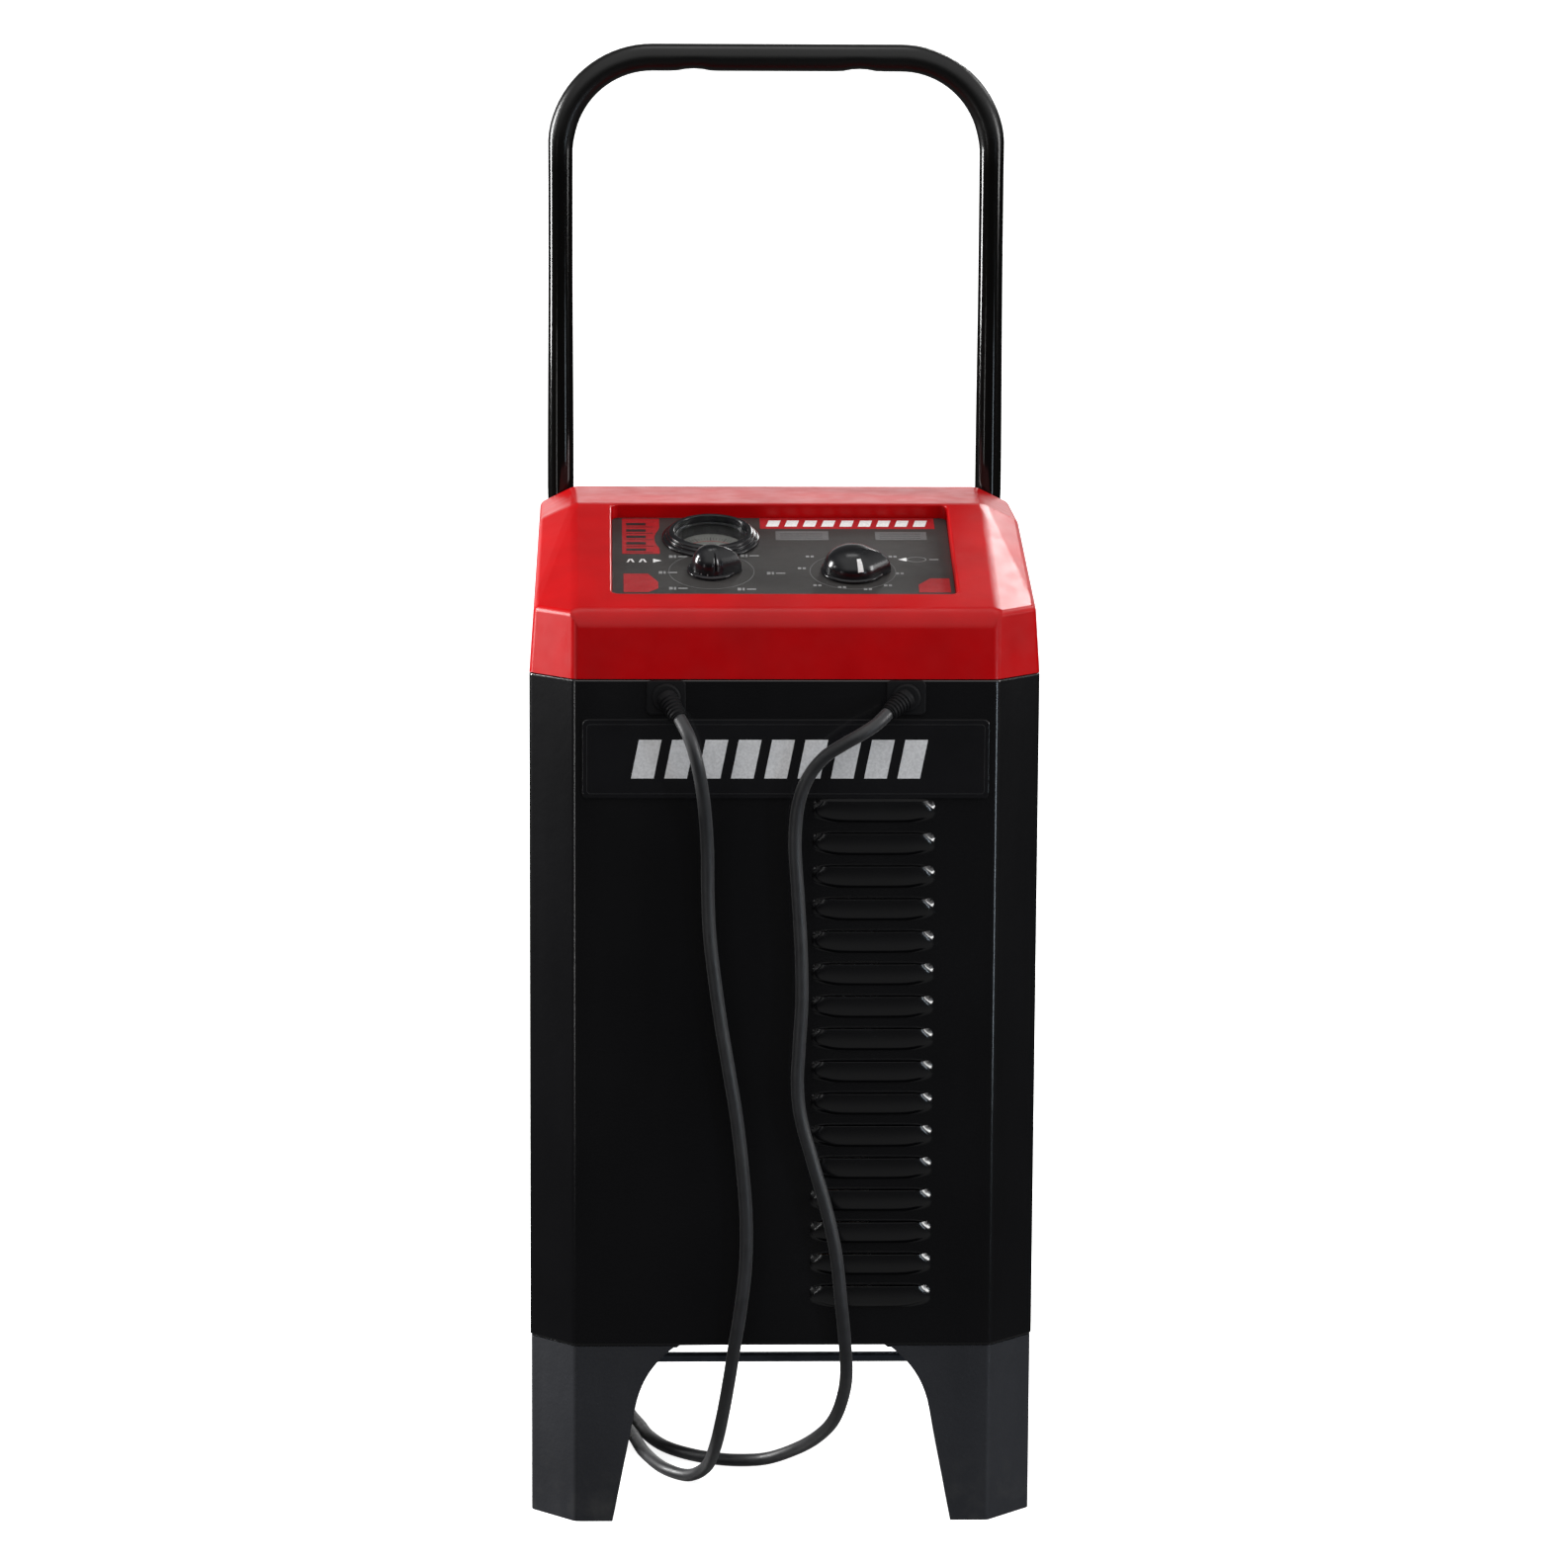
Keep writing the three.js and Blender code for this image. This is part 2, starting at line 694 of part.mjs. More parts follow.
// ---------------------------------------------------------------- handle
function handlePath() {
  const stations = [];
  const add = (x, z, dx, dz) =>
    stations.push({
      point: new THREE.Vector3(x, HANDLE_Y, z),
      tangent: new THREE.Vector3(dx, 0, dz).normalize(),
    });
  const [corner, top] = [HANDLE_X - HANDLE_BEND, HANDLE_TOP_Z - TUBE_RADIUS];
  const steps = 8;
  add(-HANDLE_X, HANDLE_LOW_Z, 0, 1);
  for (const sign of [-1, 1]) {
    for (let i = 0; i <= steps; i += 1) {
      const turn = ((sign < 0 ? i : steps - i) / steps) * (Math.PI / 2);
      const [x, z] = [corner + HANDLE_BEND * Math.cos(turn), HANDLE_BEND * Math.sin(turn)];
      add(sign * x, top - HANDLE_BEND + z, Math.sin(turn), -sign * Math.cos(turn));
    }
  }
  add(HANDLE_X, HANDLE_LOW_Z, 0, -1);
  return new StationPath(stations);
}

function handleTube() {
  const path = handlePath();
  const steps = path.stations.length - 1;
  return swept(path, TUBE_RADIUS, steps, 14, TUBE_RADIUS - TUBE_WALL);
}

// A plug that closes the tube's lower end.
function handlePlug(sign) {
  const stem = rod(TUBE_RADIUS - TUBE_WALL - GAP, 0, 14, 14);
  const head = rod(TUBE_RADIUS, -3, -GAP, 24);
  const neck = rod(4, -1, 1, 14);
  return join(stem, neck, head).translate(sign * HANDLE_X, HANDLE_Y, HANDLE_LOW_Z);
}

// A strap bent over the tube, with one foot on the rear panel on the inboard side.
function handleClip(sign, z) {
  const inner = TUBE_RADIUS + GAP;
  const outer = inner + CLIP_SHEET;
  const stand = HANDLE_Y - DEPTH - GAP;
  const shape = new THREE.Shape();
  shape.moveTo(outer, -stand);
  shape.absarc(0, 0, outer, 0, Math.PI);
  shape.lineTo(-outer, -stand + CLIP_SHEET);
  shape.lineTo(-outer - 13, -stand + CLIP_SHEET);
  shape.lineTo(-outer - 13, -stand);
  shape.lineTo(-inner, -stand);
  shape.absarc(0, 0, inner, Math.PI, 0, true);
  shape.lineTo(inner, -stand);
  const options = { depth: 22, bevelEnabled: false, curveSegments: 14 };
  const strap = new THREE.ExtrudeGeometry(shape, options).translate(0, HANDLE_Y, z);
  const placed = mergeVertices(strap.translate(HANDLE_X, 0, 0));
  return sign > 0 ? placed : mirrored(placed);
}

part("handle", handleTube(), BLACK_STEEL, charger);
for (const [side, sign] of sides) {
  part(`handle_plug_${side}`, handlePlug(sign), MATTE_BLACK, charger);
  CLIP_HEIGHTS.forEach((z, i) => {
    const place = ["lower", "upper"][i];
    part(`handle_clip_${place}_${side}`, handleClip(sign, z), SATIN_STEEL, charger);
  });
}

// ---------------------------------------------------------------- transformer and rectifier
const CORE = { x: 60, y0: 95, y1: 155, z0: 123.4, z1: 223.4, leg: 20 };

function transformerCore() {
  const { x, y0, y1, z0, z1, leg } = CORE;
  const stack = block([-x, y0, z0], [x, y1, z1]);
  const windows = [-1, 1].map((sign) =>
    block(
      [Math.min(sign * leg, sign * (x - leg)), y0 - 2, z0 + leg],
      [Math.max(sign * leg, sign * (x - leg)), y1 + 2, z1 - leg],
    ),
  );
  return cut(stack, ...windows);
}

function transformerWinding() {
  const { x, y0, y1, z0, z1, leg } = CORE;
  const clear = 0.5;
  const [w, d] = [x - leg - clear, x - 2 * leg - clear];
  const outside = block([-w, y0 - d, z0 + leg + clear], [w, y1 + d, z1 - leg - clear]);
  const around = block([-leg - clear, y0 - clear, z0], [leg + clear, y1 + clear, z1]);
  return cut(outside, around);
}

// A strap of sheet bent up on both sides of the core, screwed to the base plate.
function transformerCradle() {
  const { x, y0, y1, z0 } = CORE;
  const floor = CABINET_BOTTOM + SHEET + GAP;
  const strap = block([-x - 16, y0 + 8, floor], [x + 16, y1 - 8, floor + 2]);
  const uprights = [-1, 1].map((sign) => {
    const [near, far] = [sign * (x + GAP), sign * (x + GAP + 2)];
    return block(
      [Math.min(near, far), y0 + 8, floor],
      [Math.max(near, far), y1 - 8, z0 + 45],
    );
  });
  return join(strap, ...uprights);
}

function rectifierPlate() {
  const plate = block([-70, 205, 270], [70, 208, 380]);
  const fins = [];
  for (let i = 0; i < 8; i += 1) {
    fins.push(block([-63 + i * 18, 207, 270], [-61 + i * 18, 222, 380]));
  }
  return join(plate, ...fins);
}

function rectifierDiode(sign) {
  const can = rod(13, 0, 9, 24);
  const stud = rod(2, 8, 18, 12);
  return join(can, stud)
    .rotateX(Math.PI / 2)
    .translate(sign * 32, 205 - GAP, 325);
}

const breaker = join(block([98, 190, 300], [126, 214, 330]), rod(2, 329, 340, 12).translate(112, 202, 0));
part("transformer_core", transformerCore(), CORE_STEEL, charger);
part("transformer_winding", transformerWinding(), COPPER, charger);
part("transformer_cradle", transformerCradle(), ZINC, charger);
part("rectifier_plate", rectifierPlate(), ALUMINIUM, charger);
part("rectifier_diode_left", rectifierDiode(-1), ZINC, charger);
part("rectifier_diode_right", rectifierDiode(1), ZINC, charger);
part("circuit_breaker", breaker, MATTE_BLACK, charger);

// ---------------------------------------------------------------- output cables
// Each cable leaves its boot, hangs down the front, passes under the cabinet through the arch
// and runs back along the floor beside the left wheel to a coil tied behind the charger.
const BOOT_AIM = {
  left: [0.42, -0.7, -0.58],
  right: [-0.62, -0.66, -0.42],
};

const FLOOR = CABLE_RADIUS + 0.05;
const COILS = {
  left: { x: -98, y: 503 },
  right: { x: 28, y: 503 },
};

// Points along the middle of each cable, from the boot's end to where its coil begins.
const ROUTES = {
  left: [
    [-62.6, -22.5, 526.5],
    [-58, -24.5, 512],
    [-54.6, -20.5, 495],
    [-52, -14.5, 474],
    [-50.4, -10, 450],
    [-50, -8.5, 422],
    [-48.6, -8, 393],
    [-42, -8, 341],
    [-36.2, -8, 306],
    [-30.9, -8, 274],
    [-26.2, -8, 233],
    [-24.2, -8, 203],
    [-24.7, -8, 173],
    [-28.2, -7.5, 142],
    [-31.8, -4.5, 118],
    [-34.6, 3, 96],
    [-38.4, 20, 67],
    [-43.2, 43, 37],
    [-49.2, 68, 16],
    [-60, 86, 5.8],
    [-75, 106, FLOOR],
    [-88.5, 144, FLOOR],
    [-96.5, 188, FLOOR],
    [-102.5, 216, FLOOR],
    [-109, 243, FLOOR],
    [-114, 275, FLOOR],
    [-117.5, 320, FLOOR],
    [-125, 370, FLOOR],
    [-138, 425, FLOOR],
    [-149, 465, FLOOR],
  ],
  right: [
    [57.5, -20, 534.5],
    [47.5, -24, 528.5],
    [36, -22.5, 521.5],
    [24, -18, 512.5],
    [14, -14.5, 499],
    [8, -12.5, 482],
    [5.8, -11.5, 457],
    [7.9, -11.5, 422],
    [10.1, -11.5, 387],
    [10.9, -11.5, 353],
    [9.2, -11.5, 320],
    [8.3, -11.5, 297],
    [10.3, -11.5, 276],
    [18, -12, 247],
    [27.2, -12, 215],
    [33.8, -12, 185],
    [37.6, -11, 152],
    [40.6, -7, 122],
    [42, 1, 102],
    [41.2, 16, 83],
    [36, 40, 58],
    [25.5, 70, 36.5],
    [9.8, 100, 18.5],
    [-8, 118, 7.5],
    [-26, 126, FLOOR],
    [-40, 129.5, FLOOR],
    [-55, 138, FLOOR],
    [-73, 157, FLOOR],
    [-85.5, 185, FLOOR],
    [-92, 214, FLOOR],
    [-98.5, 242, FLOOR],
    [-103, 275, FLOOR],
    [-104, 330, FLOOR],
    [-102, 375, FLOOR],
    [-91, 408, FLOOR],
    [-68, 431, FLOOR],
    [-36, 443, FLOOR],
    [-12, 447, FLOOR],
  ],
};

function bootEnd(side, sign) {
  const aim = new THREE.Vector3(...BOOT_AIM[side]).normalize();
  return aim.multiplyScalar(BOOT_LENGTH).add(new THREE.Vector3(sign * EXIT_X, 0, EXIT_Z));
}

function strainRelief(side, sign) {
  const flange = carriedBack(roundedRectangle(25, 22, 3), -2.8, -GAP);
  const boot = turned(
    [
      [0, -4],
      [7.6, -4],
      [7.6, 2],
      [5.4, BOOT_LENGTH],
      [0, BOOT_LENGTH],
    ],
    24,
  );
  const aim = new THREE.Vector3(...BOOT_AIM[side]).normalize();
  const turn = new THREE.Quaternion().setFromUnitVectors(new THREE.Vector3(0, 0, 1), aim);
  boot.applyQuaternion(turn);
  const neck = rod(CABLE_RADIUS + 2.1, -6, 1).rotateX(-Math.PI / 2);
  const behind = block([-40, -GAP, -40], [40, 30, 40]);
  const shown = cut(join(flange, boot), behind);
  return join(shown, neck).translate(sign * EXIT_X, 0, EXIT_Z);
}

function cableRun(side, sign) {
  const start = bootEnd(side, sign);
  const aim = new THREE.Vector3(...BOOT_AIM[side]).normalize();
  const first = start.clone().addScaledVector(aim, BOOT_GAP);
  const points = [first, ...ROUTES[side].map((p) => new THREE.Vector3(...p))];
  return swept(new THREE.CatmullRomCurve3(points), CABLE_RADIUS, 78, 10);
}

// The outer shape of the stored turns.
function coilRing(side) {
  const { x, y } = COILS[side];
  const half = 2.1 * CABLE_RADIUS;
  const top = 4 * CABLE_RADIUS;
  return turned(
    [
      [COIL_RADIUS - half, 0.5],
      [COIL_RADIUS + half, 0.5],
      [COIL_RADIUS + half, 9.5],
      [COIL_RADIUS + half - 4, top],
      [COIL_RADIUS - half + 4, top],
      [COIL_RADIUS - half, 9.5],
    ],
    28,
  ).translate(x, y, 0);
}

// The last stretch of each cable, from its coil to the clamp.
const TAILS = {
  left: [
    [-89, 567, 9.5],
    [-75, 572.5, 6.5],
    [-58, 575.6, 6.8],
    [-38, 576, 12],
  ],
  right: [
    [75, 457.5, 9.5],
    [93, 464.5, 6.5],
    [106, 476, 6.8],
    [112, 492.5, 12],
  ],
};

function cableTail(side) {
  const points = TAILS[side].map((p) => new THREE.Vector3(...p));
  return swept(new THREE.CatmullRomCurve3(points), CABLE_RADIUS, 8, 10);
}

for (const [side, sign] of sides) {
  part(`strain_relief_${side}`, strainRelief(side, sign), MATTE_BLACK, charger);
  part(`output_cable_${side}`, cableRun(side, sign), CABLE_JACKET, charger);
  part(`cable_coil_${side}`, coilRing(side), CABLE_JACKET, charger);
  part(`cable_tail_${side}`, cableTail(side), CABLE_JACKET, charger);
}

// ---------------------------------------------------------------- battery clamps
// Each clamp lies on its side, drawn with its pivot at the origin, jaws towards +X.
const CLAMP_LOW = 1;
const CLAMP_HIGH = 23;
const CLAMP_PIN = 2.5;

// One half: a bent bar with a handle behind the pivot and a jaw in front of it.
function clampBar() {
  const shape = new THREE.Shape();
  shape.moveTo(-62, -22);
  shape.quadraticCurveTo(-28, -18, -14, -11.5);
  shape.quadraticCurveTo(20, -14.5, 46, -7);
  shape.lineTo(60, -5);
  shape.lineTo(60, -0.5);
  shape.lineTo(45, -0.5);
  shape.quadraticCurveTo(20, -10, -12, -8.5);
  shape.quadraticCurveTo(-28, -15, -62, -19);
  return raised(shape, CLAMP_LOW, CLAMP_HIGH);
}

function clampHalf(side, earLow) {
  const ears = [earLow, CLAMP_LOW + CLAMP_HIGH - earLow - 2].map((z) => {
    const shape = polygon([
      [-13, -9.5],
      [-6, 3],
      [-2.5, 5.5],
      [2.5, 5.5],
      [6, 3],
      [13, -9.8],
    ]);
    return raised(shape, z, z + 2);
  });
  const bore = rod(CLAMP_PIN + GAP, 0, 30, 20);
  const half = cut(join(clampBar(), ...ears), bore);
  return side < 0 ? half : half.rotateX(Math.PI).translate(0, 0, CLAMP_LOW + CLAMP_HIGH);
}

function clampSpring() {
  const wound = turned(
    [
      [3, 6.4],
      [5, 6.4],
      [5, 17.6],
      [3, 17.6],
    ],
    20,
  );
  const legs = [
    block([-9, 3.3, 7], [0, 4.8, 8.5]),
    block([-9, -4.8, 15.5], [0, -3.3, 17]),
  ];
  return join(wound, ...legs);
}

const clamps = [
  { name: "black", grip: BLACK_GRIP, at: [25, 590], turn: 0, fixed: -1 },
  { name: "red", grip: RED_GRIP, at: [126, 555], turn: Math.PI / 2, fixed: 1 },
];
for (const { name, grip, at, turn, fixed } of clamps) {
  const clamp = new THREE.Group();
  clamp.position.set(...at, 0);
  clamp.rotation.z = turn;
  charger.add(clamp);
  part(`clamp_${name}_fixed_jaw`, clampHalf(fixed, CLAMP_LOW), grip, clamp);
  part(`clamp_${name}_moving_jaw`, clampHalf(-fixed, CLAMP_LOW + 2.4), grip, clamp);
  part(`clamp_${name}_pin`, rod(CLAMP_PIN, 0.5, 23.5, 20), ZINC, clamp);
  part(`clamp_${name}_spring`, clampSpring(), ZINC, clamp);
}

// ---------------------------------------------------------------- origin
// The middle of the footprint, not counting the cables: from the louvres to the handle's clips.
const HANDLE_CLIP_BACK = HANDLE_Y + TUBE_RADIUS + GAP + CLIP_SHEET;
charger.position.y = -(HANDLE_CLIP_BACK - LOUVRE_PROUD) / 2;

export default charger;
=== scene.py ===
"""Looks of the wheeled battery charger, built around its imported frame. Metres, +Z up, front towards -Y."""

import json
import math

import bmesh
import bpy
from mathutils import Matrix, Vector

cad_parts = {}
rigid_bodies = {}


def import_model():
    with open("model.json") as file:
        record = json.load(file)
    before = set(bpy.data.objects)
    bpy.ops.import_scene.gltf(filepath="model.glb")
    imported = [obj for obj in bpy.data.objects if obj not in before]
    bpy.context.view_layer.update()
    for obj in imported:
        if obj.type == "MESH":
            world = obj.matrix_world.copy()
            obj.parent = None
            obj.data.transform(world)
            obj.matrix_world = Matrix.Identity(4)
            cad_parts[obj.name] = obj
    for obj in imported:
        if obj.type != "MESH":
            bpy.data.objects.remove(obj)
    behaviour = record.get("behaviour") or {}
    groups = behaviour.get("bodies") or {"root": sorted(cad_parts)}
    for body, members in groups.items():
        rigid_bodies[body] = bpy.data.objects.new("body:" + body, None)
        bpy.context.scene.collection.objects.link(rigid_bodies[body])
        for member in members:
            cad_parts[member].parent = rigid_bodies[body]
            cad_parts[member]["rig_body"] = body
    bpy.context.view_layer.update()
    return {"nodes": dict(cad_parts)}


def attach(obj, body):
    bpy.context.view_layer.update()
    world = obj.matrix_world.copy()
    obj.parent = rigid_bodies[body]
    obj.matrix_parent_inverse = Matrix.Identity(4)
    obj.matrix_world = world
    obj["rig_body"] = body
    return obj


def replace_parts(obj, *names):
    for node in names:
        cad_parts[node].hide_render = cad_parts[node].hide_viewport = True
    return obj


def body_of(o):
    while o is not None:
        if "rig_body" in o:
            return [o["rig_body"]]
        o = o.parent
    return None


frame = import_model()

MM = 0.001
FRONT = -138.65  # the cabinet's front face, in millimetres
PI = math.pi


def at(x, y, z):
    """A point given in millimetres, with y measured back from the cabinet's front face."""
    return Vector((x * MM, (y + FRONT) * MM, z * MM))


def linked(name, data):
    """A new object in the scene."""
    obj = bpy.data.objects.new(name, data)
    bpy.context.collection.objects.link(obj)
    return obj


# ---------------------------------------------------------------- camera
CAMERA_PLACE = (-0.12204, -3.90961, 1.15955)
CAMERA_TURN = (1.837, 10.033, 0.328)  # yaw, pitch and roll in degrees


def add_camera():
    yaw, pitch, roll = (math.radians(a) for a in CAMERA_TURN)
    ahead = Vector((math.sin(yaw) * math.cos(pitch), math.cos(yaw) * math.cos(pitch), -math.sin(pitch)))
    level = Vector((math.cos(yaw), -math.sin(yaw), 0))
    above = level.cross(ahead)
    right = math.cos(roll) * level + math.sin(roll) * above
    up = -math.sin(roll) * level + math.cos(roll) * above
    data = bpy.data.cameras.new("camera")
    data.sensor_width = 36
    data.lens = 136.8
    data.clip_end = 50
    camera = linked("camera", data)
    turn = Matrix((right, up, -ahead)).transposed().to_4x4()
    camera.matrix_world = Matrix.Translation(CAMERA_PLACE) @ turn
    bpy.context.scene.camera = camera


add_camera()


# ---------------------------------------------------------------- materials
def wired(tree, kind, output, inputs, **settings):
    """Adds a node and returns one output; inputs are plain values or other nodes' outputs."""
    node = tree.nodes.new("ShaderNode" + kind)
    for name, value in settings.items():
        setattr(node, name, value)
    for socket, value in inputs.items():
        if isinstance(value, bpy.types.NodeSocket):
            tree.links.new(value, node.inputs[socket])
        else:
            node.inputs[socket].default_value = value
    return node.outputs[output]


def ranged(tree, value, low, high, to_low, to_high, how="LINEAR"):
    inputs = {"Value": value, "From Min": low, "From Max": high, "To Min": to_low, "To Max": to_high}
    return wired(tree, "MapRange", "Result", inputs, interpolation_type=how)


def reckoned(tree, operation, first, second):
    return wired(tree, "Math", 0, {0: first, 1: second}, operation=operation)


class Paint:
    """Wires up one Principled material."""

    def __init__(self, name, rough=0.5, metal=0.0, **flat):
        self.material = bpy.data.materials.new(name)
        self.material.use_nodes = True
        self.tree = self.material.node_tree
        self.shader = self.tree.nodes["Principled BSDF"]
        self.place = wired(self.tree, "TexCoord", "Object", {})
        self.set("Roughness", rough)
        self.set("Metallic", metal)
        for socket, value in flat.items():
            self.set(socket.replace("_", " "), value)

    def set(self, socket, value):
        self.shader.inputs[socket].default_value = value

    def link(self, out, socket):
        self.tree.links.new(out, self.shader.inputs[socket])

    def stretched(self, stretch):
        if stretch == (1, 1, 1):
            return self.place
        return wired(self.tree, "Mapping", "Vector", {"Scale": stretch, "Vector": self.place})

    def noise(self, scale, detail=3.0, stretch=(1, 1, 1)):
        inputs = {"Scale": scale, "Detail": detail, "Vector": self.stretched(stretch)}
        return wired(self.tree, "TexNoise", "Fac", inputs)

    def cells(self, scale, stretch):
        inputs = {"Scale": scale, "Vector": self.stretched(stretch)}
        return wired(self.tree, "TexVoronoi", "Distance", inputs)

    def bands(self, scale, direction):
        inputs = {"Scale": scale, "Vector": self.place}
        return wired(self.tree, "TexWave", "Fac", inputs, bands_direction=direction)

    def ramp(self, value, low, high, to_low=0.0, to_high=1.0):
        return ranged(self.tree, value, low, high, to_low, to_high)

    def mix(self, factor, first, second):
        inputs = {"Factor": factor}
        for socket, value in ((6, first), (7, second)):
            inputs[socket] = (*value, 1) if isinstance(value, tuple) else value
        return wired(self.tree, "Mix", 2, inputs, data_type="RGBA")

    def height(self):
        return wired(self.tree, "SeparateXYZ", "Z", {"Vector": self.place})

    def times(self, first, second):
        return reckoned(self.tree, "MULTIPLY", first, second)

    def tint(self, value, low, high, colour, dark, light):
        """Shades the colour from dark to light as the value goes from low to high."""
        share = self.ramp(value, low, high)
        self.link(self.mix(share, shade(colour, dark), shade(colour, light)), "Base Color")

    def roughen(self, value, low, high, least, most):
        self.link(self.ramp(value, low, high, least, most), "Roughness")

    def bump(self, *layers):
        """Each layer is (value, depth in metres)."""
        below = {}
        for value, depth in layers:
            normal = wired(self.tree, "Bump", "Normal", {"Distance": depth, "Height": value, **below})
            below = {"Normal": normal}
        self.link(normal, "Normal")


def shade(colour, factor):
    return tuple(min(1.0, c * factor) for c in colour)


def enamel(name, colour, rough, peel=1.0):
    """Stoved paint on sheet steel: orange peel, faint streaks and a little dust low down."""
    p = Paint(name, rough, Coat_Weight=0.25, Coat_Roughness=0.08)
    clouds = p.noise(9, 5)
    streaks = p.noise(14, 4, (1, 1, 0.12))
    specks = p.ramp(p.noise(420, 2), 0.66, 0.74)
    tone = p.mix(p.ramp(clouds, 0.3, 0.7), shade(colour, 0.85), shade(colour, 1.2))
    low = p.times(p.ramp(p.height(), 0.05, 0.0), p.ramp(p.noise(60, 5), 0.5, 0.95))
    dusty = p.mix(low, tone, (0.045, 0.044, 0.042))
    p.link(p.mix(p.times(specks, p.ramp(clouds, 0.4, 0.9)), dusty, shade(colour, 2.2)), "Base Color")
    p.roughen(streaks, 0.25, 0.75, rough * 0.8, rough * 1.25)
    p.bump((p.noise(420, 2), 0.00004 * peel), (p.noise(60, 2), 0.00012 * peel))
    return p.material


def gripped(name, colour, start):
    """Gloss paint on a tube, with a dull grip above the starting height."""
    p = Paint(name, 0.12, Specular_IOR_Level=0.3)
    dull = p.ramp(p.height(), start, start + 0.03)
    p.link(p.mix(dull, colour, shade(colour, 1.2)), "Base Color")
    p.link(p.mix(dull, (0.1, 0.1, 0.1), (0.32, 0.32, 0.32)), "Roughness")
    p.bump((p.noise(900, 2), 0.000004))
    return p.material


def plastic(name, colour, rough, grain=0.00003, scale=1600, **flat):
    """Moulded plastic with a fine spark-eroded grain."""
    p = Paint(name, rough, **flat)
    p.tint(p.noise(22, 4), 0.3, 0.7, colour, 0.88, 1.1)
    p.roughen(p.noise(70, 4), 0.3, 0.7, rough * 0.88, rough * 1.14)
    p.bump((p.noise(scale, 2), grain), (p.noise(120, 2), grain))
    return p.material


def metal(name, colour, rough, brush=(1, 1, 1), depth=0.00002):
    """Plated or drawn metal with a patchy tarnish and fine marks."""
    p = Paint(name, rough, 1.0)
    p.tint(p.noise(45, 5), 0.35, 0.7, colour, 0.78, 1.08)
    marks = p.noise(300, 3, brush)
    p.roughen(marks, 0.3, 0.7, rough * 0.75, rough * 1.35)
    p.bump((marks, depth), (p.cells(160, brush), depth))
    return p.material


def rubber(name, colour, rough, dust):
    """Rubber or soft jacket: dull, slightly mottled, with pale dust where it has rolled."""
    p = Paint(name, rough, Sheen_Weight=0.15, Sheen_Roughness=0.5)
    mottle = p.mix(p.ramp(p.noise(90, 5), 0.3, 0.7), shade(colour, 0.8), shade(colour, 1.3))
    pale = p.ramp(p.noise(38, 6), 0.5, 0.8, 0.0, dust)
    p.link(p.mix(pale, mottle, (0.16, 0.15, 0.135)), "Base Color")
    p.roughen(p.noise(150, 3), 0.3, 0.7, rough * 0.85, min(1.0, rough * 1.15))
    p.bump((p.noise(1400, 3), 0.00005), (p.noise(160, 3), 0.00008))
    return p.material


def laminations(name):
    """The edges of a transformer's stacked core sheets."""
    p = Paint(name, 0.5, 0.6)
    sheets = p.bands(630, "Y")
    p.link(p.mix(sheets, (0.07, 0.06, 0.05), (0.2, 0.19, 0.18)), "Base Color")
    p.roughen(p.noise(80, 4), 0.3, 0.7, 0.35, 0.6)
    p.bump((sheets, 0.00015))
    return p.material


def windings(name):
    """Varnished copper wire, wound in layers."""
    p = Paint(name, 0.3, 0.9, Coat_Weight=0.6, Coat_Roughness=0.1)
    turns = p.bands(160, "Z")
    tone = p.mix(p.ramp(p.noise(40, 4), 0.3, 0.7), (0.42, 0.16, 0.06), (0.6, 0.27, 0.12))
    p.link(p.mix(turns, (0.12, 0.04, 0.015), tone), "Base Color")
    p.bump((turns, 0.0006))
    return p.material


def webbing(name, colour):
    """Woven strap."""
    p = Paint(name, 0.85, Sheen_Weight=0.4, Sheen_Roughness=0.6)
    weave = p.times(p.bands(420, "X"), p.bands(420, "Z"))
    p.link(p.mix(weave, shade(colour, 0.5), shade(colour, 1.6)), "Base Color")
    p.bump((weave, 0.0002), (p.noise(900, 3), 0.0001))
    return p.material


def ink(name, colour, rough=0.45):
    """Screen print: slightly uneven cover over the film's grain."""
    p = Paint(name, rough)
    p.tint(p.noise(700, 4), 0.35, 0.65, colour, 0.86, 1.06)
    p.roughen(p.noise(90, 3), 0.3, 0.7, rough * 0.85, rough * 1.2)
    p.bump((p.noise(1500, 2), 0.00002))
    return p.material


def clear(name):
    """Clear moulded window with faint handling marks."""
    p = Paint(name, 0.04, Transmission_Weight=1.0, IOR=1.2)
    p.link(p.mix(p.ramp(p.noise(200, 3), 0.4, 0.6), (0.93, 0.95, 0.95), (0.98, 0.99, 0.99)), "Base Color")
    p.roughen(p.noise(110, 4), 0.4, 0.7, 0.02, 0.08)
    p.bump((p.noise(60, 2), 0.00002))
    return p.material


CABINET = enamel("cabinet_enamel", (0.004, 0.004, 0.0045), 0.2)
HANDLE_BLACK = gripped("handle_black", (0.0028, 0.0027, 0.0026), 0.865)
CHARCOAL = enamel("foot_enamel", (0.0138, 0.0147, 0.018), 0.42, 2.0)
BADGE = plastic("badge_plastic", (0.007, 0.007, 0.008), 0.16, 0.00001, Coat_Weight=0.5)
SILVER = ink("badge_silver", (0.62, 0.62, 0.63), 0.36)
RED = plastic("cap_plastic", (0.42, 0.0004, 0.0018), 0.32, 0.000006, 900, Specular_IOR_Level=0.2)
FILM = plastic("panel_film", (0.035, 0.033, 0.0315), 0.42, 0.00002, 2200, Specular_IOR_Level=0.35)
BLACK = plastic("black_moulding", (0.01, 0.01, 0.011), 0.42, 0.00002, 1300)
GLOSS = plastic("gloss_moulding", (0.005, 0.005, 0.006), 0.2, 0.000003, Specular_IOR_Level=0.35)
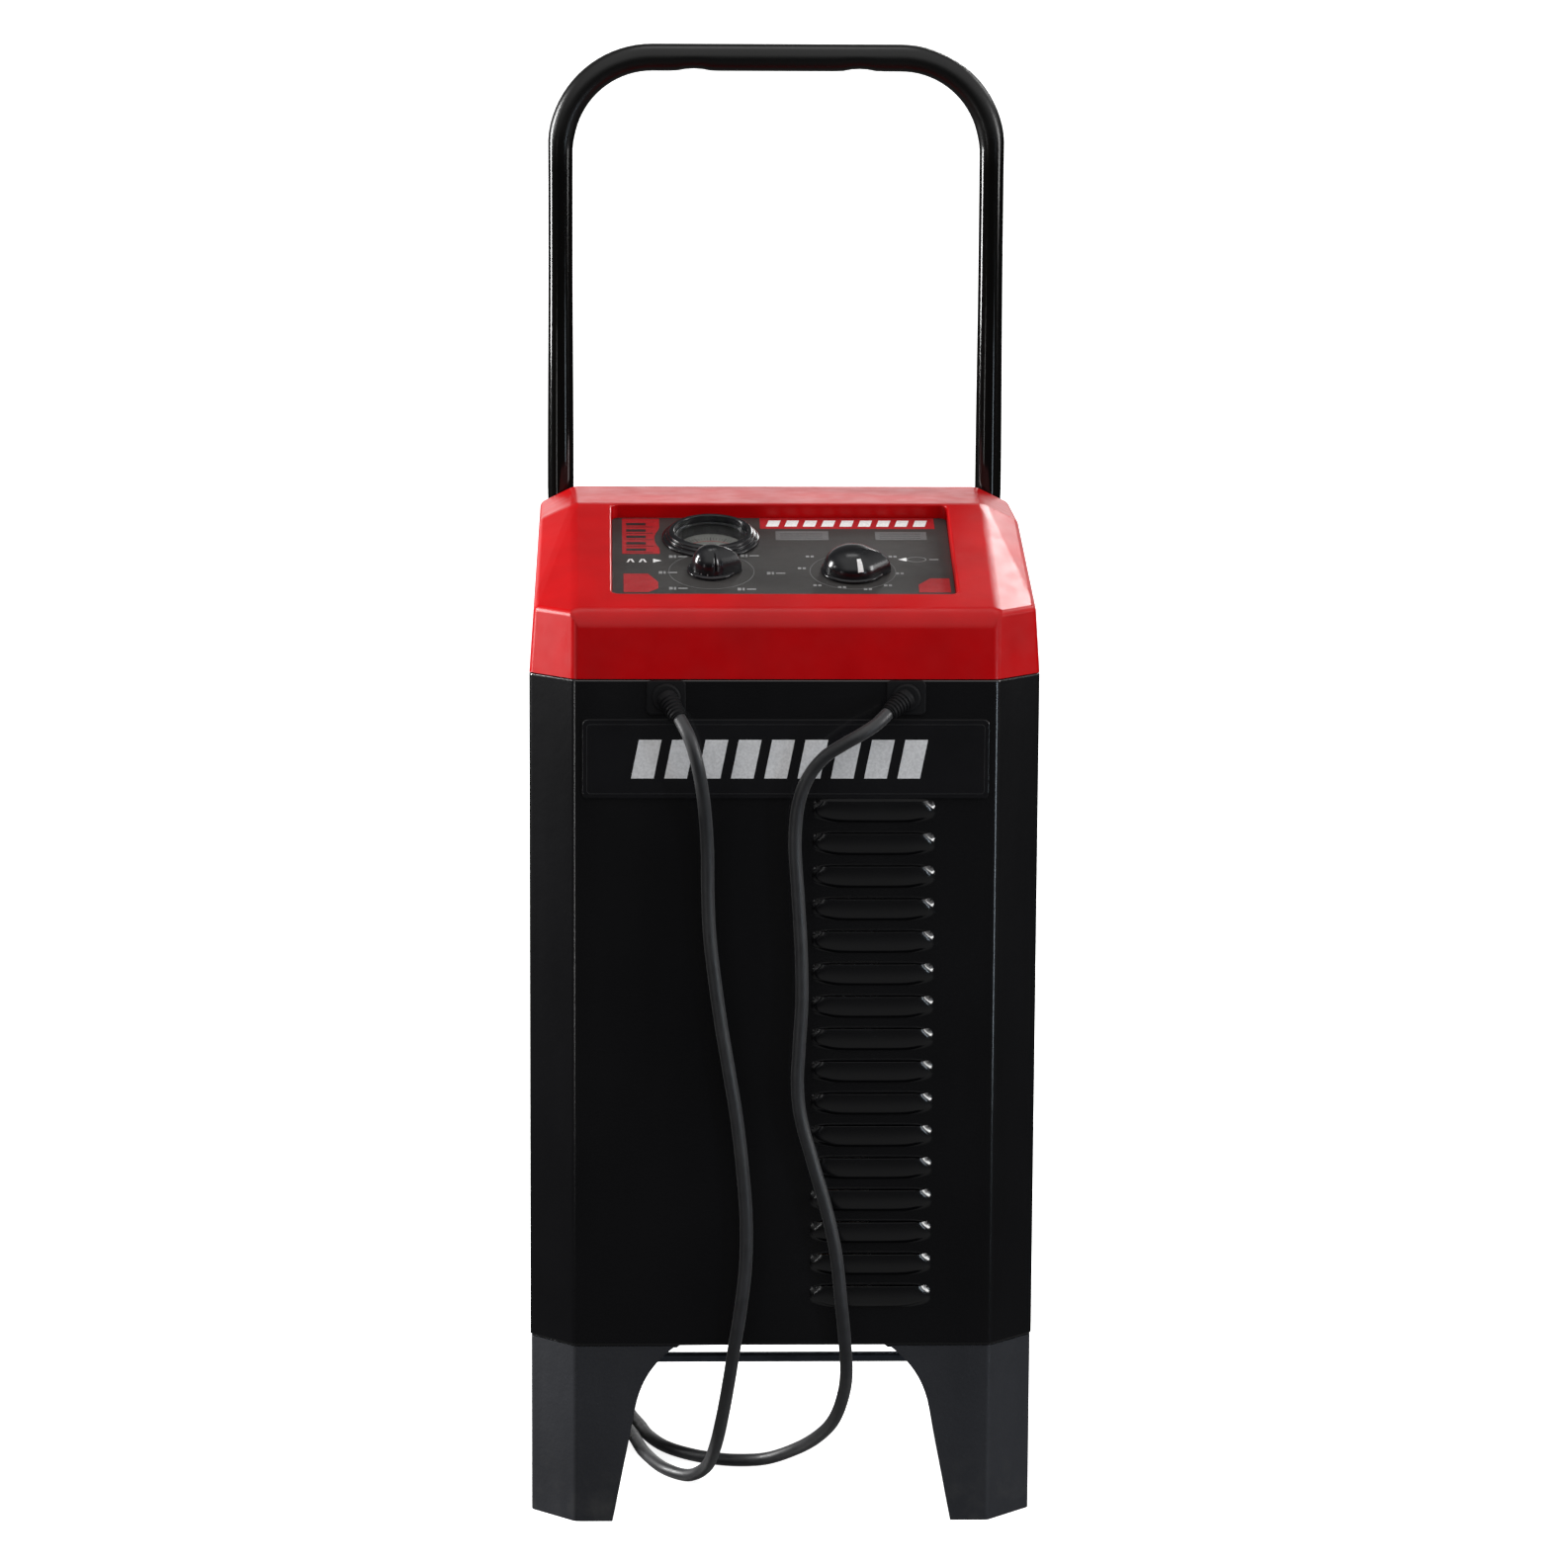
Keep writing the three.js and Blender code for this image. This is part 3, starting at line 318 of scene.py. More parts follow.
BOOT = plastic("boot_rubber", (0.0042, 0.0042, 0.0048), 0.6, 0.00001, 1300, Specular_IOR_Level=0.14)
TYRE = rubber("tyre_rubber", (0.018, 0.018, 0.019), 0.8, 0.45)
JACKET = rubber("cable_rubber", (0.0085, 0.0088, 0.0105), 0.46, 0.05)
ZINC = metal("zinc_plate", (0.62, 0.63, 0.64), 0.3)
STEEL = metal("axle_steel", (0.1, 0.115, 0.14), 0.42, (0.04, 1, 1), 0.000002)
ALUMINIUM = metal("heat_sink_metal", (0.66, 0.67, 0.68), 0.38, (1, 1, 12))
# The dial card is painted a mid grey rather than white: painted shade for the shadow inside the meter's well.
SHADED_DIAL = ink("dial_card_painted_shade", (0.23, 0.228, 0.21), 0.6)
GLASS = clear("meter_window")
LAMINATED = laminations("core_sheets")
COPPER = windings("coil_wire")
COPPER_PLATE = metal("clamp_copper", (0.62, 0.3, 0.16), 0.32)
CLAMP_BLACK = plastic("clamp_black_grip", (0.014, 0.014, 0.015), 0.5, 0.00006, 700)
CLAMP_RED = plastic("clamp_red_grip", (0.36, 0.01, 0.012), 0.45, 0.00006, 700)
STRAP = webbing("tie_webbing", (0.02, 0.02, 0.022))
WHITE_INK = ink("white_print", (0.75, 0.75, 0.74))
GREY_INK = ink("grey_print", (0.11, 0.11, 0.11))
# Dim grey print for the ticks and the oval; also the colour of the selector's painted glint.
DIM_INK_AND_PAINTED_GLINT = ink("dim_print_and_painted_glint", (0.24, 0.24, 0.24))
RED_INK = ink("red_print", (0.36, 0.006, 0.01))
BLACK_INK = ink("black_print", (0.01, 0.01, 0.01))


# ---------------------------------------------------------------- mesh helpers
def dressed(obj, material, smooth=35):
    """One material, with smooth shading that leaves the broad faces flat."""
    obj.data.materials.clear()
    obj.data.materials.append(material)
    obj.data.shade_smooth()
    obj.data.set_sharp_from_angle(angle=math.radians(smooth))
    flat = obj.modifiers.new("flat_faces", "WEIGHTED_NORMAL")
    flat.weight = 60
    flat.keep_sharp = True
    return obj


def new_object(name, mesh, material, body="root", smooth=35):
    obj = linked(name, mesh)
    dressed(obj, material, smooth)
    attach(obj, body)
    return obj


def mesh_of(name, points, faces, weld=None):
    """A mesh whose normals face outwards, with doubled points welded if asked."""
    bm = bmesh.new()
    verts = [bm.verts.new(p) for p in points]
    for face in faces:
        if len(set(face)) == len(face):
            bm.faces.new([verts[i] for i in face])
    if weld:
        bmesh.ops.remove_doubles(bm, verts=bm.verts, dist=weld)
    bmesh.ops.recalc_face_normals(bm, faces=bm.faces)
    mesh = bpy.data.meshes.new(name)
    bm.to_mesh(mesh)
    bm.free()
    return mesh


def grid_faces(rows, columns, closed_rows=False, closed_columns=False):
    faces = []
    for r in range(rows if closed_rows else rows - 1):
        for c in range(columns if closed_columns else columns - 1):
            a, b = r * columns + c, r * columns + (c + 1) % columns
            up = ((r + 1) % rows) * columns
            faces.append((a, b, up + (c + 1) % columns, up + c))
    return faces


def ring_mesh(name, rings, faces, weld=None):
    return mesh_of(name, [p for ring in rings for p in ring], faces, weld)


def lofted(name, rings):
    """Closed rings of points, one above another, with a face over each end."""
    count = len(rings[0])
    faces = grid_faces(len(rings), count, closed_columns=True)
    faces.append(tuple(range(count)))
    faces.append(tuple(range((len(rings) - 1) * count, len(rings) * count)))
    return ring_mesh(name, rings, faces)


def looped(name, rings):
    """Closed rings of points, the last joined to the first."""
    faces = grid_faces(len(rings), len(rings[0]), closed_rows=True, closed_columns=True)
    return ring_mesh(name, rings, faces, 1e-6)


def turned(name, profile, place, segments, relief=None):
    """A closed profile of (radius, height) in millimetres, turned about local Z and put in place.

    relief(i, radius, height) may say how far a point is sunk.
    """
    rings = []
    for radius, height in profile:
        ring = []
        for i in range(segments):
            turn = 2 * PI * i / segments
            r = radius - (relief(i, radius, height) if relief else 0)
            ring.append(place(r * math.cos(turn), r * math.sin(turn), height))
        rings.append(ring)
    return looped(name, rings)


def add_turned(name, profile, place, segments, material, body="root"):
    return new_object(name, turned(name, profile, place, segments), material, body)


def bezier(a, b, c, t):
    """A share t of the way from a to c, along a curve drawn towards b."""
    return (1 - t) ** 2 * Vector(a) + 2 * t * (1 - t) * Vector(b) + t * t * Vector(c)


def axes(angle):
    """The directions along and across an angle."""
    along = Vector((math.cos(angle), math.sin(angle)))
    return along, Vector((-along.y, along.x))


def softened(profile, radius, steps=4):
    """The profile with each of its corners rounded off by at most the given radius."""
    out = []
    count = len(profile)
    for i in range(count):
        before, here, after = (Vector(profile[(i + k) % count]) for k in (-1, 0, 1))
        a, b = before - here, after - here
        reach = min(radius, a.length * 0.45, b.length * 0.45)
        if a.length < 1e-6 or b.length < 1e-6 or here.x == 0:
            out.append(tuple(here))
            continue
        start, end = here + a.normalized() * reach, here + b.normalized() * reach
        out += [tuple(bezier(start, here, end, k / steps)) for k in range(steps + 1)]
    return out


def rounded_rectangle(width, height, radius, steps=8):
    corners = ((1, -1, -PI / 2), (1, 1, 0), (-1, 1, PI / 2), (-1, -1, PI))
    points = []
    for sx, sy, start in corners:
        cx, cy = sx * (width / 2 - radius), sy * (height / 2 - radius)
        for k in range(steps + 1):
            turn = start + k * PI / 2 / steps
            points.append((cx + radius * math.cos(turn), cy + radius * math.sin(turn)))
    return points


def slab(name, outline, low, high, place, edge=0.0):
    """A flat plate of the given outline, its upper edge rounded by edge."""
    levels = [(low, 0.0)]
    steps = 3 if edge else 1
    for k in range(steps + 1 if edge else 1):
        turn = k / steps * PI / 2
        levels.append((high - edge * (1 - math.sin(turn)), edge * (1 - math.cos(turn))))
    middle = sum((Vector(p) for p in outline), Vector((0, 0))) / len(outline)
    rings = []
    for height, inset in levels:
        ring = []
        for p in outline:
            away = Vector(p) - middle
            q = middle + away * max(0.0, 1 - inset / max(away.length, 1e-6))
            ring.append(place(q.x, q.y, height))
        rings.append(ring)
    return lofted(name, rings)


def swept(name, line, radius, sides=24, squeeze=None):
    """A tube along a line of points; squeeze(i, away) may scale its radius."""
    rings = []
    side = None
    for i, point in enumerate(line):
        ahead = (line[min(i + 1, len(line) - 1)] - line[max(i - 1, 0)]).normalized()
        if side is None:
            side = ahead.orthogonal().normalized()
        side = (side - ahead * side.dot(ahead)).normalized()
        up = ahead.cross(side)
        ring = []
        for k in range(sides):
            turn = 2 * PI * k / sides
            away = side * math.cos(turn) + up * math.sin(turn)
            ring.append(point + radius * (squeeze(i, away) if squeeze else 1) * away)
        rings.append(ring)
    return lofted(name, rings)


def joined(name, meshes):
    """Several meshes as one."""
    bm = bmesh.new()
    for mesh in meshes:
        bm.from_mesh(mesh)
        bpy.data.meshes.remove(mesh)
    out = bpy.data.meshes.new(name)
    bm.to_mesh(out)
    bm.free()
    return out


def modified(obj):
    """Applies an object's modifiers to its mesh."""
    seen = bpy.context.evaluated_depsgraph_get()
    mesh = bpy.data.meshes.new_from_object(obj.evaluated_get(seen))
    obj.modifiers.clear()
    obj.data = mesh
    return obj


def eased_edges(obj, width, angle):
    """Rounds the edges sharper than the angle."""
    edge = obj.modifiers.new("edge", "BEVEL")
    edge.width = width * MM
    edge.segments = 2
    edge.limit_method = "ANGLE"
    edge.angle_limit = math.radians(angle)


# ---------------------------------------------------------------- output cables
CABLE_RADIUS = 4.25
EXIT_X, EXIT_Z = 77, 548.5
BOOT_LENGTH = 20
FLOOR = CABLE_RADIUS + 0.05  # height of a cable's middle where it lies on the floor

# The way each cable leaves its boot.
AIM = {"left": (0.42, -0.7, -0.58), "right": (-0.62, -0.66, -0.42)}
# Points of each cable from its boot to its coil, in metres.
ROUTES = {
    "left": [
        (-0.0626, -0.16115, 0.5265), (-0.058, -0.16315, 0.512), (-0.0546, -0.15915, 0.495),
        (-0.052, -0.15315, 0.474), (-0.0504, -0.14865, 0.45), (-0.05, -0.14715, 0.422),
        (-0.0486, -0.14665, 0.393), (-0.042, -0.14665, 0.341), (-0.0362, -0.14665, 0.306),
        (-0.0309, -0.14665, 0.274), (-0.0262, -0.14665, 0.233), (-0.0242, -0.14665, 0.203),
        (-0.0247, -0.14665, 0.173), (-0.0282, -0.14615, 0.142), (-0.0318, -0.14315, 0.118),
        (-0.0346, -0.13565, 0.096), (-0.0384, -0.11865, 0.067), (-0.0432, -0.09565, 0.037),
        (-0.0492, -0.07065, 0.016), (-0.06, -0.05265, 0.0058), (-0.075, -0.03265, 0.0043),
        (-0.0885, 0.00535, 0.0043), (-0.0965, 0.04935, 0.0043), (-0.1025, 0.07735, 0.0043),
        (-0.109, 0.10435, 0.0043), (-0.114, 0.13635, 0.0043), (-0.1175, 0.18135, 0.0043),
        (-0.125, 0.23135, 0.0043), (-0.138, 0.28635, 0.0043), (-0.149, 0.32635, 0.0043),
    ],
    "right": [
        (0.0575, -0.15865, 0.5345), (0.0475, -0.16265, 0.5285), (0.036, -0.16115, 0.5215),
        (0.024, -0.15665, 0.5125), (0.014, -0.15315, 0.499), (0.008, -0.15115, 0.482),
        (0.0058, -0.15015, 0.457), (0.0079, -0.15015, 0.422), (0.0101, -0.15015, 0.387),
        (0.0109, -0.15015, 0.353), (0.0092, -0.15015, 0.32), (0.0083, -0.15015, 0.297),
        (0.0103, -0.15015, 0.276), (0.018, -0.15065, 0.247), (0.0272, -0.15065, 0.215),
        (0.0338, -0.15065, 0.185), (0.0376, -0.14965, 0.152), (0.0406, -0.14565, 0.122),
        (0.042, -0.13765, 0.102), (0.0412, -0.12265, 0.083), (0.036, -0.09865, 0.058),
        (0.0255, -0.06865, 0.0365), (0.0098, -0.03865, 0.0185), (-0.008, -0.02065, 0.0075),
        (-0.026, -0.01265, 0.0043), (-0.04, -0.00915, 0.0043), (-0.055, -0.00065, 0.0043),
        (-0.073, 0.01835, 0.0043), (-0.0855, 0.04635, 0.0043), (-0.092, 0.07535, 0.0043),
        (-0.0985, 0.10335, 0.0043), (-0.103, 0.13635, 0.0043), (-0.104, 0.19135, 0.0043),
        (-0.102, 0.23635, 0.0043), (-0.091, 0.26935, 0.0043), (-0.068, 0.29235, 0.0043),
        (-0.036, 0.30435, 0.0043), (-0.012, 0.30835, 0.0043),
    ],
}
# From the coil to the clamp.
TAILS = {
    "left": [
        (-0.089, 0.42835, 0.0095), (-0.075, 0.43385, 0.0065), (-0.058, 0.43695, 0.0068),
        (-0.038, 0.43735, 0.012), (-0.022, 0.43835, 0.012),
    ],
    "right": [
        (0.075, 0.31885, 0.0095), (0.093, 0.32585, 0.0065), (0.106, 0.33735, 0.0068),
        (0.112, 0.35385, 0.012), (0.1133, 0.37, 0.012),
    ],
}
# Middle of each stored coil, the angle where the cable joins it, its sense and how far it turns.
COILS = {"left": ((-98, 503), 180, -1, 772), "right": ((28, 503), -90, 1, 728)}


def eased(t, start, end):
    t = min(1.0, max(0.0, (t - start) / (end - start)))
    return t * t * (3 - 2 * t)


def coil_points(side):
    """Two turns side by side on the floor; then the cable climbs over them to leave."""
    (x, y), start, sense, total = COILS[side]
    points = []
    for turn in range(0, total + 1, 14):
        radius = 54.3 - 8.8 * eased(turn, 290, 350) + 4.4 * eased(turn, 605, 660)
        height = FLOOR + 8.5 * eased(turn, 590, 648)
        angle = math.radians(start + sense * turn)
        points.append(at(x + radius * math.cos(angle), y + radius * math.sin(angle), height))
    return points


def smooth_line(points, steps=6):
    """Centripetal Catmull-Rom curve through the points."""
    out = []
    padded = [2 * points[0] - points[1], *points, 2 * points[-1] - points[-2]]
    for p0, p1, p2, p3 in zip(padded, padded[1:], padded[2:], padded[3:]):
        knots = [0.0]
        for a, b in ((p0, p1), (p1, p2), (p2, p3)):
            knots.append(knots[-1] + max((b - a).length, 1e-9) ** 0.5)
        t0, t1, t2, t3 = knots
        for k in range(steps):
            t = t1 + (t2 - t1) * k / steps
            a1 = (t1 - t) / (t1 - t0) * p0 + (t - t0) / (t1 - t0) * p1
            a2 = (t2 - t) / (t2 - t1) * p1 + (t - t1) / (t2 - t1) * p2
            a3 = (t3 - t) / (t3 - t2) * p2 + (t - t2) / (t3 - t2) * p3
            b1 = (t2 - t) / (t2 - t0) * a1 + (t - t0) / (t2 - t0) * a2
            b2 = (t3 - t) / (t3 - t1) * a2 + (t - t1) / (t3 - t1) * a3
            out.append((t2 - t) / (t2 - t1) * b1 + (t - t1) / (t2 - t1) * b2)
    return [*out, points[-1]]


def cable_line(side, sign):
    exit_point = at(sign * EXIT_X, 0, EXIT_Z)
    aim = Vector(AIM[side]).normalized() * MM
    start = [exit_point + aim * 3, exit_point + aim * (BOOT_LENGTH * 0.6), exit_point + aim * BOOT_LENGTH]
    points = [*start, *map(Vector, ROUTES[side]), *coil_points(side), *map(Vector, TAILS[side])]
    return smooth_line(points)


def add_cable(side, line):
    curve = bpy.data.curves.new(f"cable_{side}", "CURVE")
    curve.dimensions = "3D"
    curve.bevel_depth = CABLE_RADIUS * MM
    curve.bevel_resolution = 6
    curve.use_fill_caps = True
    spline = curve.splines.new("POLY")
    spline.points.add(len(line) - 1)
    for target, p in zip(spline.points, line):
        target.co = (*p, 1)
    spline.use_smooth = True
    curve.materials.append(JACKET)
    obj = linked(f"cable_{side}", curve)
    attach(obj, "root")
    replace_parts(obj, f"output_cable_{side}", f"cable_coil_{side}", f"cable_tail_{side}")
    return obj


def line_length(line):
    return sum((b - a).length for a, b in zip(line, line[1:]))


SIDES = (("left", -1), ("right", 1))
CABLES = {side: add_cable(side, cable_line(side, sign)) for side, sign in SIDES}


# ---------------------------------------------------------------- cabinet
WIDTH, DEPTH, BEVEL = 330, 262, 29
HALF = WIDTH / 2
CABINET_BOTTOM, CABINET_TOP = 119.2, 560
LOUVRES, PITCH, LOUVRE_TOP = 16, 21.45, 481.4
LOUVRE_LEFT, LOUVRE_WIDTH, LOUVRE_HEIGHT, LOUVRE_PROUD = 17.5, 79, 14.5, 5


def rounded_path(points, radius, steps=5):
    """An open plan path with its inner corners rounded."""
    out = [Vector(points[0])]
    for before, here, after in zip(points, points[1:], points[2:]):
        a, here, b = Vector(before), Vector(here), Vector(after)
        start = here + (a - here).normalized() * radius
        end = here + (b - here).normalized() * radius
        out += [bezier(start, here, end, k / steps) for k in range(steps + 1)]
    out.append(Vector(points[-1]))
    return out


def louvre_bulge(x, v):
    """How far a louvre stands proud at x, a share v of its height below its lip."""
    u = abs(x - LOUVRE_LEFT - LOUVRE_WIDTH / 2) / (LOUVRE_WIDTH / 2)
    if u > 1:
        return 0.0
    drop = eased(u, 0.7, 1)
    peak = 0.4 * drop
    w = (v - peak) / (1 - peak) if v >= peak else drop * (peak - v) / peak
    return LOUVRE_PROUD * max(0.0, 1 - u**5 - w**2.2) ** 0.6


def cabinet_plan():
    half = [(HALF - BEVEL, 0), (HALF, BEVEL), (HALF, DEPTH - 2), (HALF - 14, DEPTH - 2)]
    bends = [(-x, y) for x, y in reversed(half)] + half
    path = rounded_path(bends, 2.6)
    fine = 34
    middle = LOUVRE_LEFT + LOUVRE_WIDTH / 2
    columns = [-120 + 12 * i for i in range(12)]
    columns += [middle + LOUVRE_WIDTH / 2 * math.sin(PI / 2 * (2 * i / fine - 1)) for i in range(fine + 1)]
    columns += [104, 116, 126]
    split = next(i for i, p in enumerate(path) if p.x > 0)
    return [*path[:split], *(Vector((x, 0)) for x in columns), *path[split:]]


def cabinet_rows():
    """Rows from the top down: height, inset, and the share of a louvre's height, or None.

    A gap in the sheet follows a row marked True. The top louvre has none.
    """
    roll = 1.4
    rows = [(CABINET_TOP, 9, None, False)]
    for k in range(5):
        turn = PI / 2 * (1 - k / 4)
        rows.append((CABINET_TOP - roll * (1 - math.sin(turn)), roll * (1 - math.cos(turn)), None, False))
    for i in range(LOUVRES):
        lip = LOUVRE_TOP - i * PITCH
        rows.append((lip, 0, None, i > 0))
        for k in range(15):
            v = math.sin(PI / 2 * k / 14)
            rows.append((lip - v * LOUVRE_HEIGHT, 0, v, False))
    for k in range(5):
        turn = PI / 2 * k / 4
        rows.append((CABINET_BOTTOM + roll * (1 - math.sin(turn)), roll * (1 - math.cos(turn)), None, False))
    return rows


def cabinet_mesh():
    plan = cabinet_plan()
    normals = []
    for i, p in enumerate(plan):
        along = (plan[min(i + 1, len(plan) - 1)] - plan[max(i - 1, 0)]).normalized()
        normals.append(Vector((along.y, -along.x)))
    rows = cabinet_rows()
    points, faces = [], []
    for z, inset, v, _ in rows:
        for p, n in zip(plan, normals):
            q = p - n * inset
            bulge = louvre_bulge(p.x, v) if v is not None and p.y < 0.01 else 0
            points.append(at(q.x, q.y - bulge, z))
    columns = len(plan)
    for r in range(len(rows) - 1):
        if rows[r][3]:
            continue
        for c in range(columns - 1):
            a = r * columns + c
            faces.append((a, a + columns, a + columns + 1, a + 1))
    bm = bmesh.new()
    verts = [bm.verts.new(p) for p in points]
    for face in faces:
        bm.faces.new([verts[i] for i in face])
    bmesh.ops.remove_doubles(bm, verts=bm.verts, dist=1e-6)
    mesh = bpy.data.meshes.new("cabinet_case")
    bm.to_mesh(mesh)
    bm.free()
    return mesh


def add_cabinet():
    case = linked("cabinet_case", cabinet_mesh())
    sheet = case.modifiers.new("sheet", "SOLIDIFY")
    sheet.thickness = 1.3 * MM
    sheet.offset = -1
    modified(case)
    dressed(case, CABINET, 40)
    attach(case, "root")
    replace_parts(case, "cabinet_shell")


add_cabinet()


# ---------------------------------------------------------------- front badge
def on_front(middle, height):
    """Places a plate drawn across and up on the cabinet's front face, centred at that height."""
    return lambda x, up, proud: at(middle + x, -0.3 - proud, height + up)


def add_badge():
    place = on_front(0, 508.5)
    plate = slab("badge_plate", rounded_rectangle(261.5, 51, 3.2), 0, 1.4, place, 0.5)
    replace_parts(new_object("badge_plate", plate, BADGE), "front_badge")
    rim_out, rim_in = rounded_rectangle(256, 45.5, 2.4), rounded_rectangle(255.2, 44.7, 2.1)
    levels = ((rim_out, 1.3), (rim_out, 1.46), (rim_in, 1.46), (rim_in, 1.3))
    rim = looped("badge_border", [[place(*p, h) for p in ring] for ring, h in levels])
    new_object("badge_border", rim, BLACK)
    lean, half = 2.5, 12.6
    bars = []
    for i in range(9):
        left, right = -97 + i * 21.4, -82.4 + i * 21.4
        outline = [(left - lean, -half), (right - lean, -half), (right + lean, half), (left + lean, half)]
        bars.append(slab("bar", outline, 1.3, 1.62, place, 0.12))
    new_object("badge_bars", joined("badge_bars", bars), SILVER)


add_badge()


# ---------------------------------------------------------------- foot
FOOT_TOP, FOOT_DEPTH, FOOT_INSET = CABINET_BOTTOM - 0.5, 62, 0.8
ARCH_FOOT = 111  # half the opening at the floor
# Half of the arch over it, as the four points of a cubic curve: across and up.
ARCH = ((97.3, 71), (94.5, 92), (86, 107), (68.5, FOOT_TOP + 1))


def arch_height(x):
    """Height of the arch's edge at a distance x from the middle."""
    if x >= ARCH_FOOT:
        return 0.0
    if x >= ARCH[0][0]:
        return ARCH[0][1] * (ARCH_FOOT - x) / (ARCH_FOOT - ARCH[0][0])
    low, high = 0.0, 1.0
    for _ in range(30):
        t = (low + high) / 2
        shares = ((1 - t) ** 3, 3 * t * (1 - t) ** 2, 3 * t * t * (1 - t), t**3)
        across = sum(share * p[0] for share, p in zip(shares, ARCH))
        low, high = (t, high) if across > x else (low, t)
    return sum(share * p[1] for share, p in zip(shares, ARCH))


def leg_mesh(sign):
    inset = FOOT_INSET
    side = HALF - inset
    cut_back = BEVEL - inset * (2 - math.sqrt(2))
    bends = [(69.5, inset), (side - cut_back, inset), (side, inset + cut_back), (side, FOOT_DEPTH)]
    path = rounded_path(bends, 2.2)
    fine = [Vector((69.5 + 1.6 * i, inset)) for i in range(1, 27)]
    path = [path[0], *fine, *path[1:]]
    rows = 6
    points = []
    for r in range(rows + 1):
        for p in path:
            low = arch_height(p.x) if p.y < inset + 0.01 else 0.0
            points.append(at(sign * p.x, p.y, low + (FOOT_TOP - 0.2 - low) * r / rows))
    faces = grid_faces(rows + 1, len(path))
    if sign < 0:
        faces = [tuple(reversed(face)) for face in faces]
    mesh = bpy.data.meshes.new("leg")
    mesh.from_pydata([tuple(p) for p in points], [], faces)
    mesh.validate()
    return mesh


def add_foot():
    legs = linked("foot_frame", joined("foot_frame", [leg_mesh(1), leg_mesh(-1)]))
    sheet = legs.modifiers.new("sheet", "SOLIDIFY")
    sheet.thickness = 2 * MM
    sheet.offset = -1
    eased_edges(legs, 0.5, 60)
    modified(legs)
    dressed(legs, CHARCOAL, 40)
    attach(legs, "root")
    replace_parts(legs, "front_foot")
    inset = FOOT_INSET + 1.8
    side, cut_back = HALF - inset, BEVEL - 1.4
    half = [(67, 9), (69, inset), (side - cut_back, inset), (side, inset + cut_back), (side, FOOT_DEPTH)]
    flange = [(-x, y) for x, y in reversed(half)] + half
    plate = lofted("foot_flange", [[at(x, y, z) for x, y in flange] for z in (FOOT_TOP - 1.5, FOOT_TOP)])
    new_object("foot_flange", plate, CHARCOAL)


add_foot()


# ---------------------------------------------------------------- cap
CAP_BREAK_Z, CAP_BREAK_Y = 603, 1.3
CAP_TOP_Z, CAP_RIDGE_Y, CAP_SIDE_Z = 652, 170, 641
SLOPE = math.atan2(CAP_TOP_Z - CAP_BREAK_Z, CAP_RIDGE_Y - CAP_BREAK_Y)
WELL_WIDTH, WELL_LOW, WELL_HIGH, WELL_DEPTH = 223.4, 30.5, 174.3, 10


def on_slope(x, up, out):
    return at(
        x,
        CAP_BREAK_Y + up * math.cos(SLOPE) - out * math.sin(SLOPE),
        CAP_BREAK_Z + up * math.sin(SLOPE) + out * math.cos(SLOPE),
    )


def on_panel(x, up, out):
    """A point on the control panel: across, up the slope, and out from its face."""
    return on_slope(x, up, out - WELL_DEPTH)


def cap_hull(inset, bottom):
    """The hood's solid shape, shrunk by inset, down to the bottom height."""
    points = []
    back = DEPTH - inset
    for sign in (-1, 1):
        for x, y, z in (
            (HALF - BEVEL, inset, bottom),
            (HALF, BEVEL + inset, bottom),
            (HALF, back, bottom),
            (HALF - BEVEL - 0.2, CAP_BREAK_Y + inset, CAP_BREAK_Z - inset),
            (HALF - 3, BEVEL + inset, CAP_BREAK_Z - inset),
            (HALF - 5.4, CAP_RIDGE_Y, CAP_SIDE_Z - inset),
            (HALF - 5.4, back, CAP_SIDE_Z - inset),
            (HALF - BEVEL + 0.5, CAP_RIDGE_Y, CAP_TOP_Z - inset),
            (HALF - BEVEL + 1, back, CAP_TOP_Z - inset),
        ):
            points.append(at(sign * (x - inset), y, z))
    bm = bmesh.new()
    verts = [bm.verts.new(p) for p in points]
    bmesh.ops.convex_hull(bm, input=verts)
    bmesh.ops.dissolve_limit(bm, angle_limit=math.radians(4.5), verts=bm.verts, edges=bm.edges)
    return bm


def as_object(name, bm):
    mesh = bpy.data.meshes.new(name)
    bm.to_mesh(mesh)
    bm.free()
    return linked(name, mesh)


def combined(obj, tool, how):
    """Cuts or joins a tool into an object, and removes the tool."""
    step = obj.modifiers.new("step", "BOOLEAN")
    step.operation = how
    step.object = tool
    step.solver = "EXACT"
    modified(obj)
    bpy.data.objects.remove(tool)
    return obj


def well_tool(levels, radius):
    """A rounded prism through the sloping face; levels are (height, how far it is grown)."""
    middle = (WELL_LOW + WELL_HIGH) / 2
    rings = []
    for out, grow in levels:
        outline = rounded_rectangle(WELL_WIDTH + 2 * grow, WELL_HIGH - WELL_LOW + 2 * grow, radius + grow, 10)
        rings.append([on_slope(x, middle + y, out) for x, y in outline])
    return linked("tool", lofted("tool", rings))


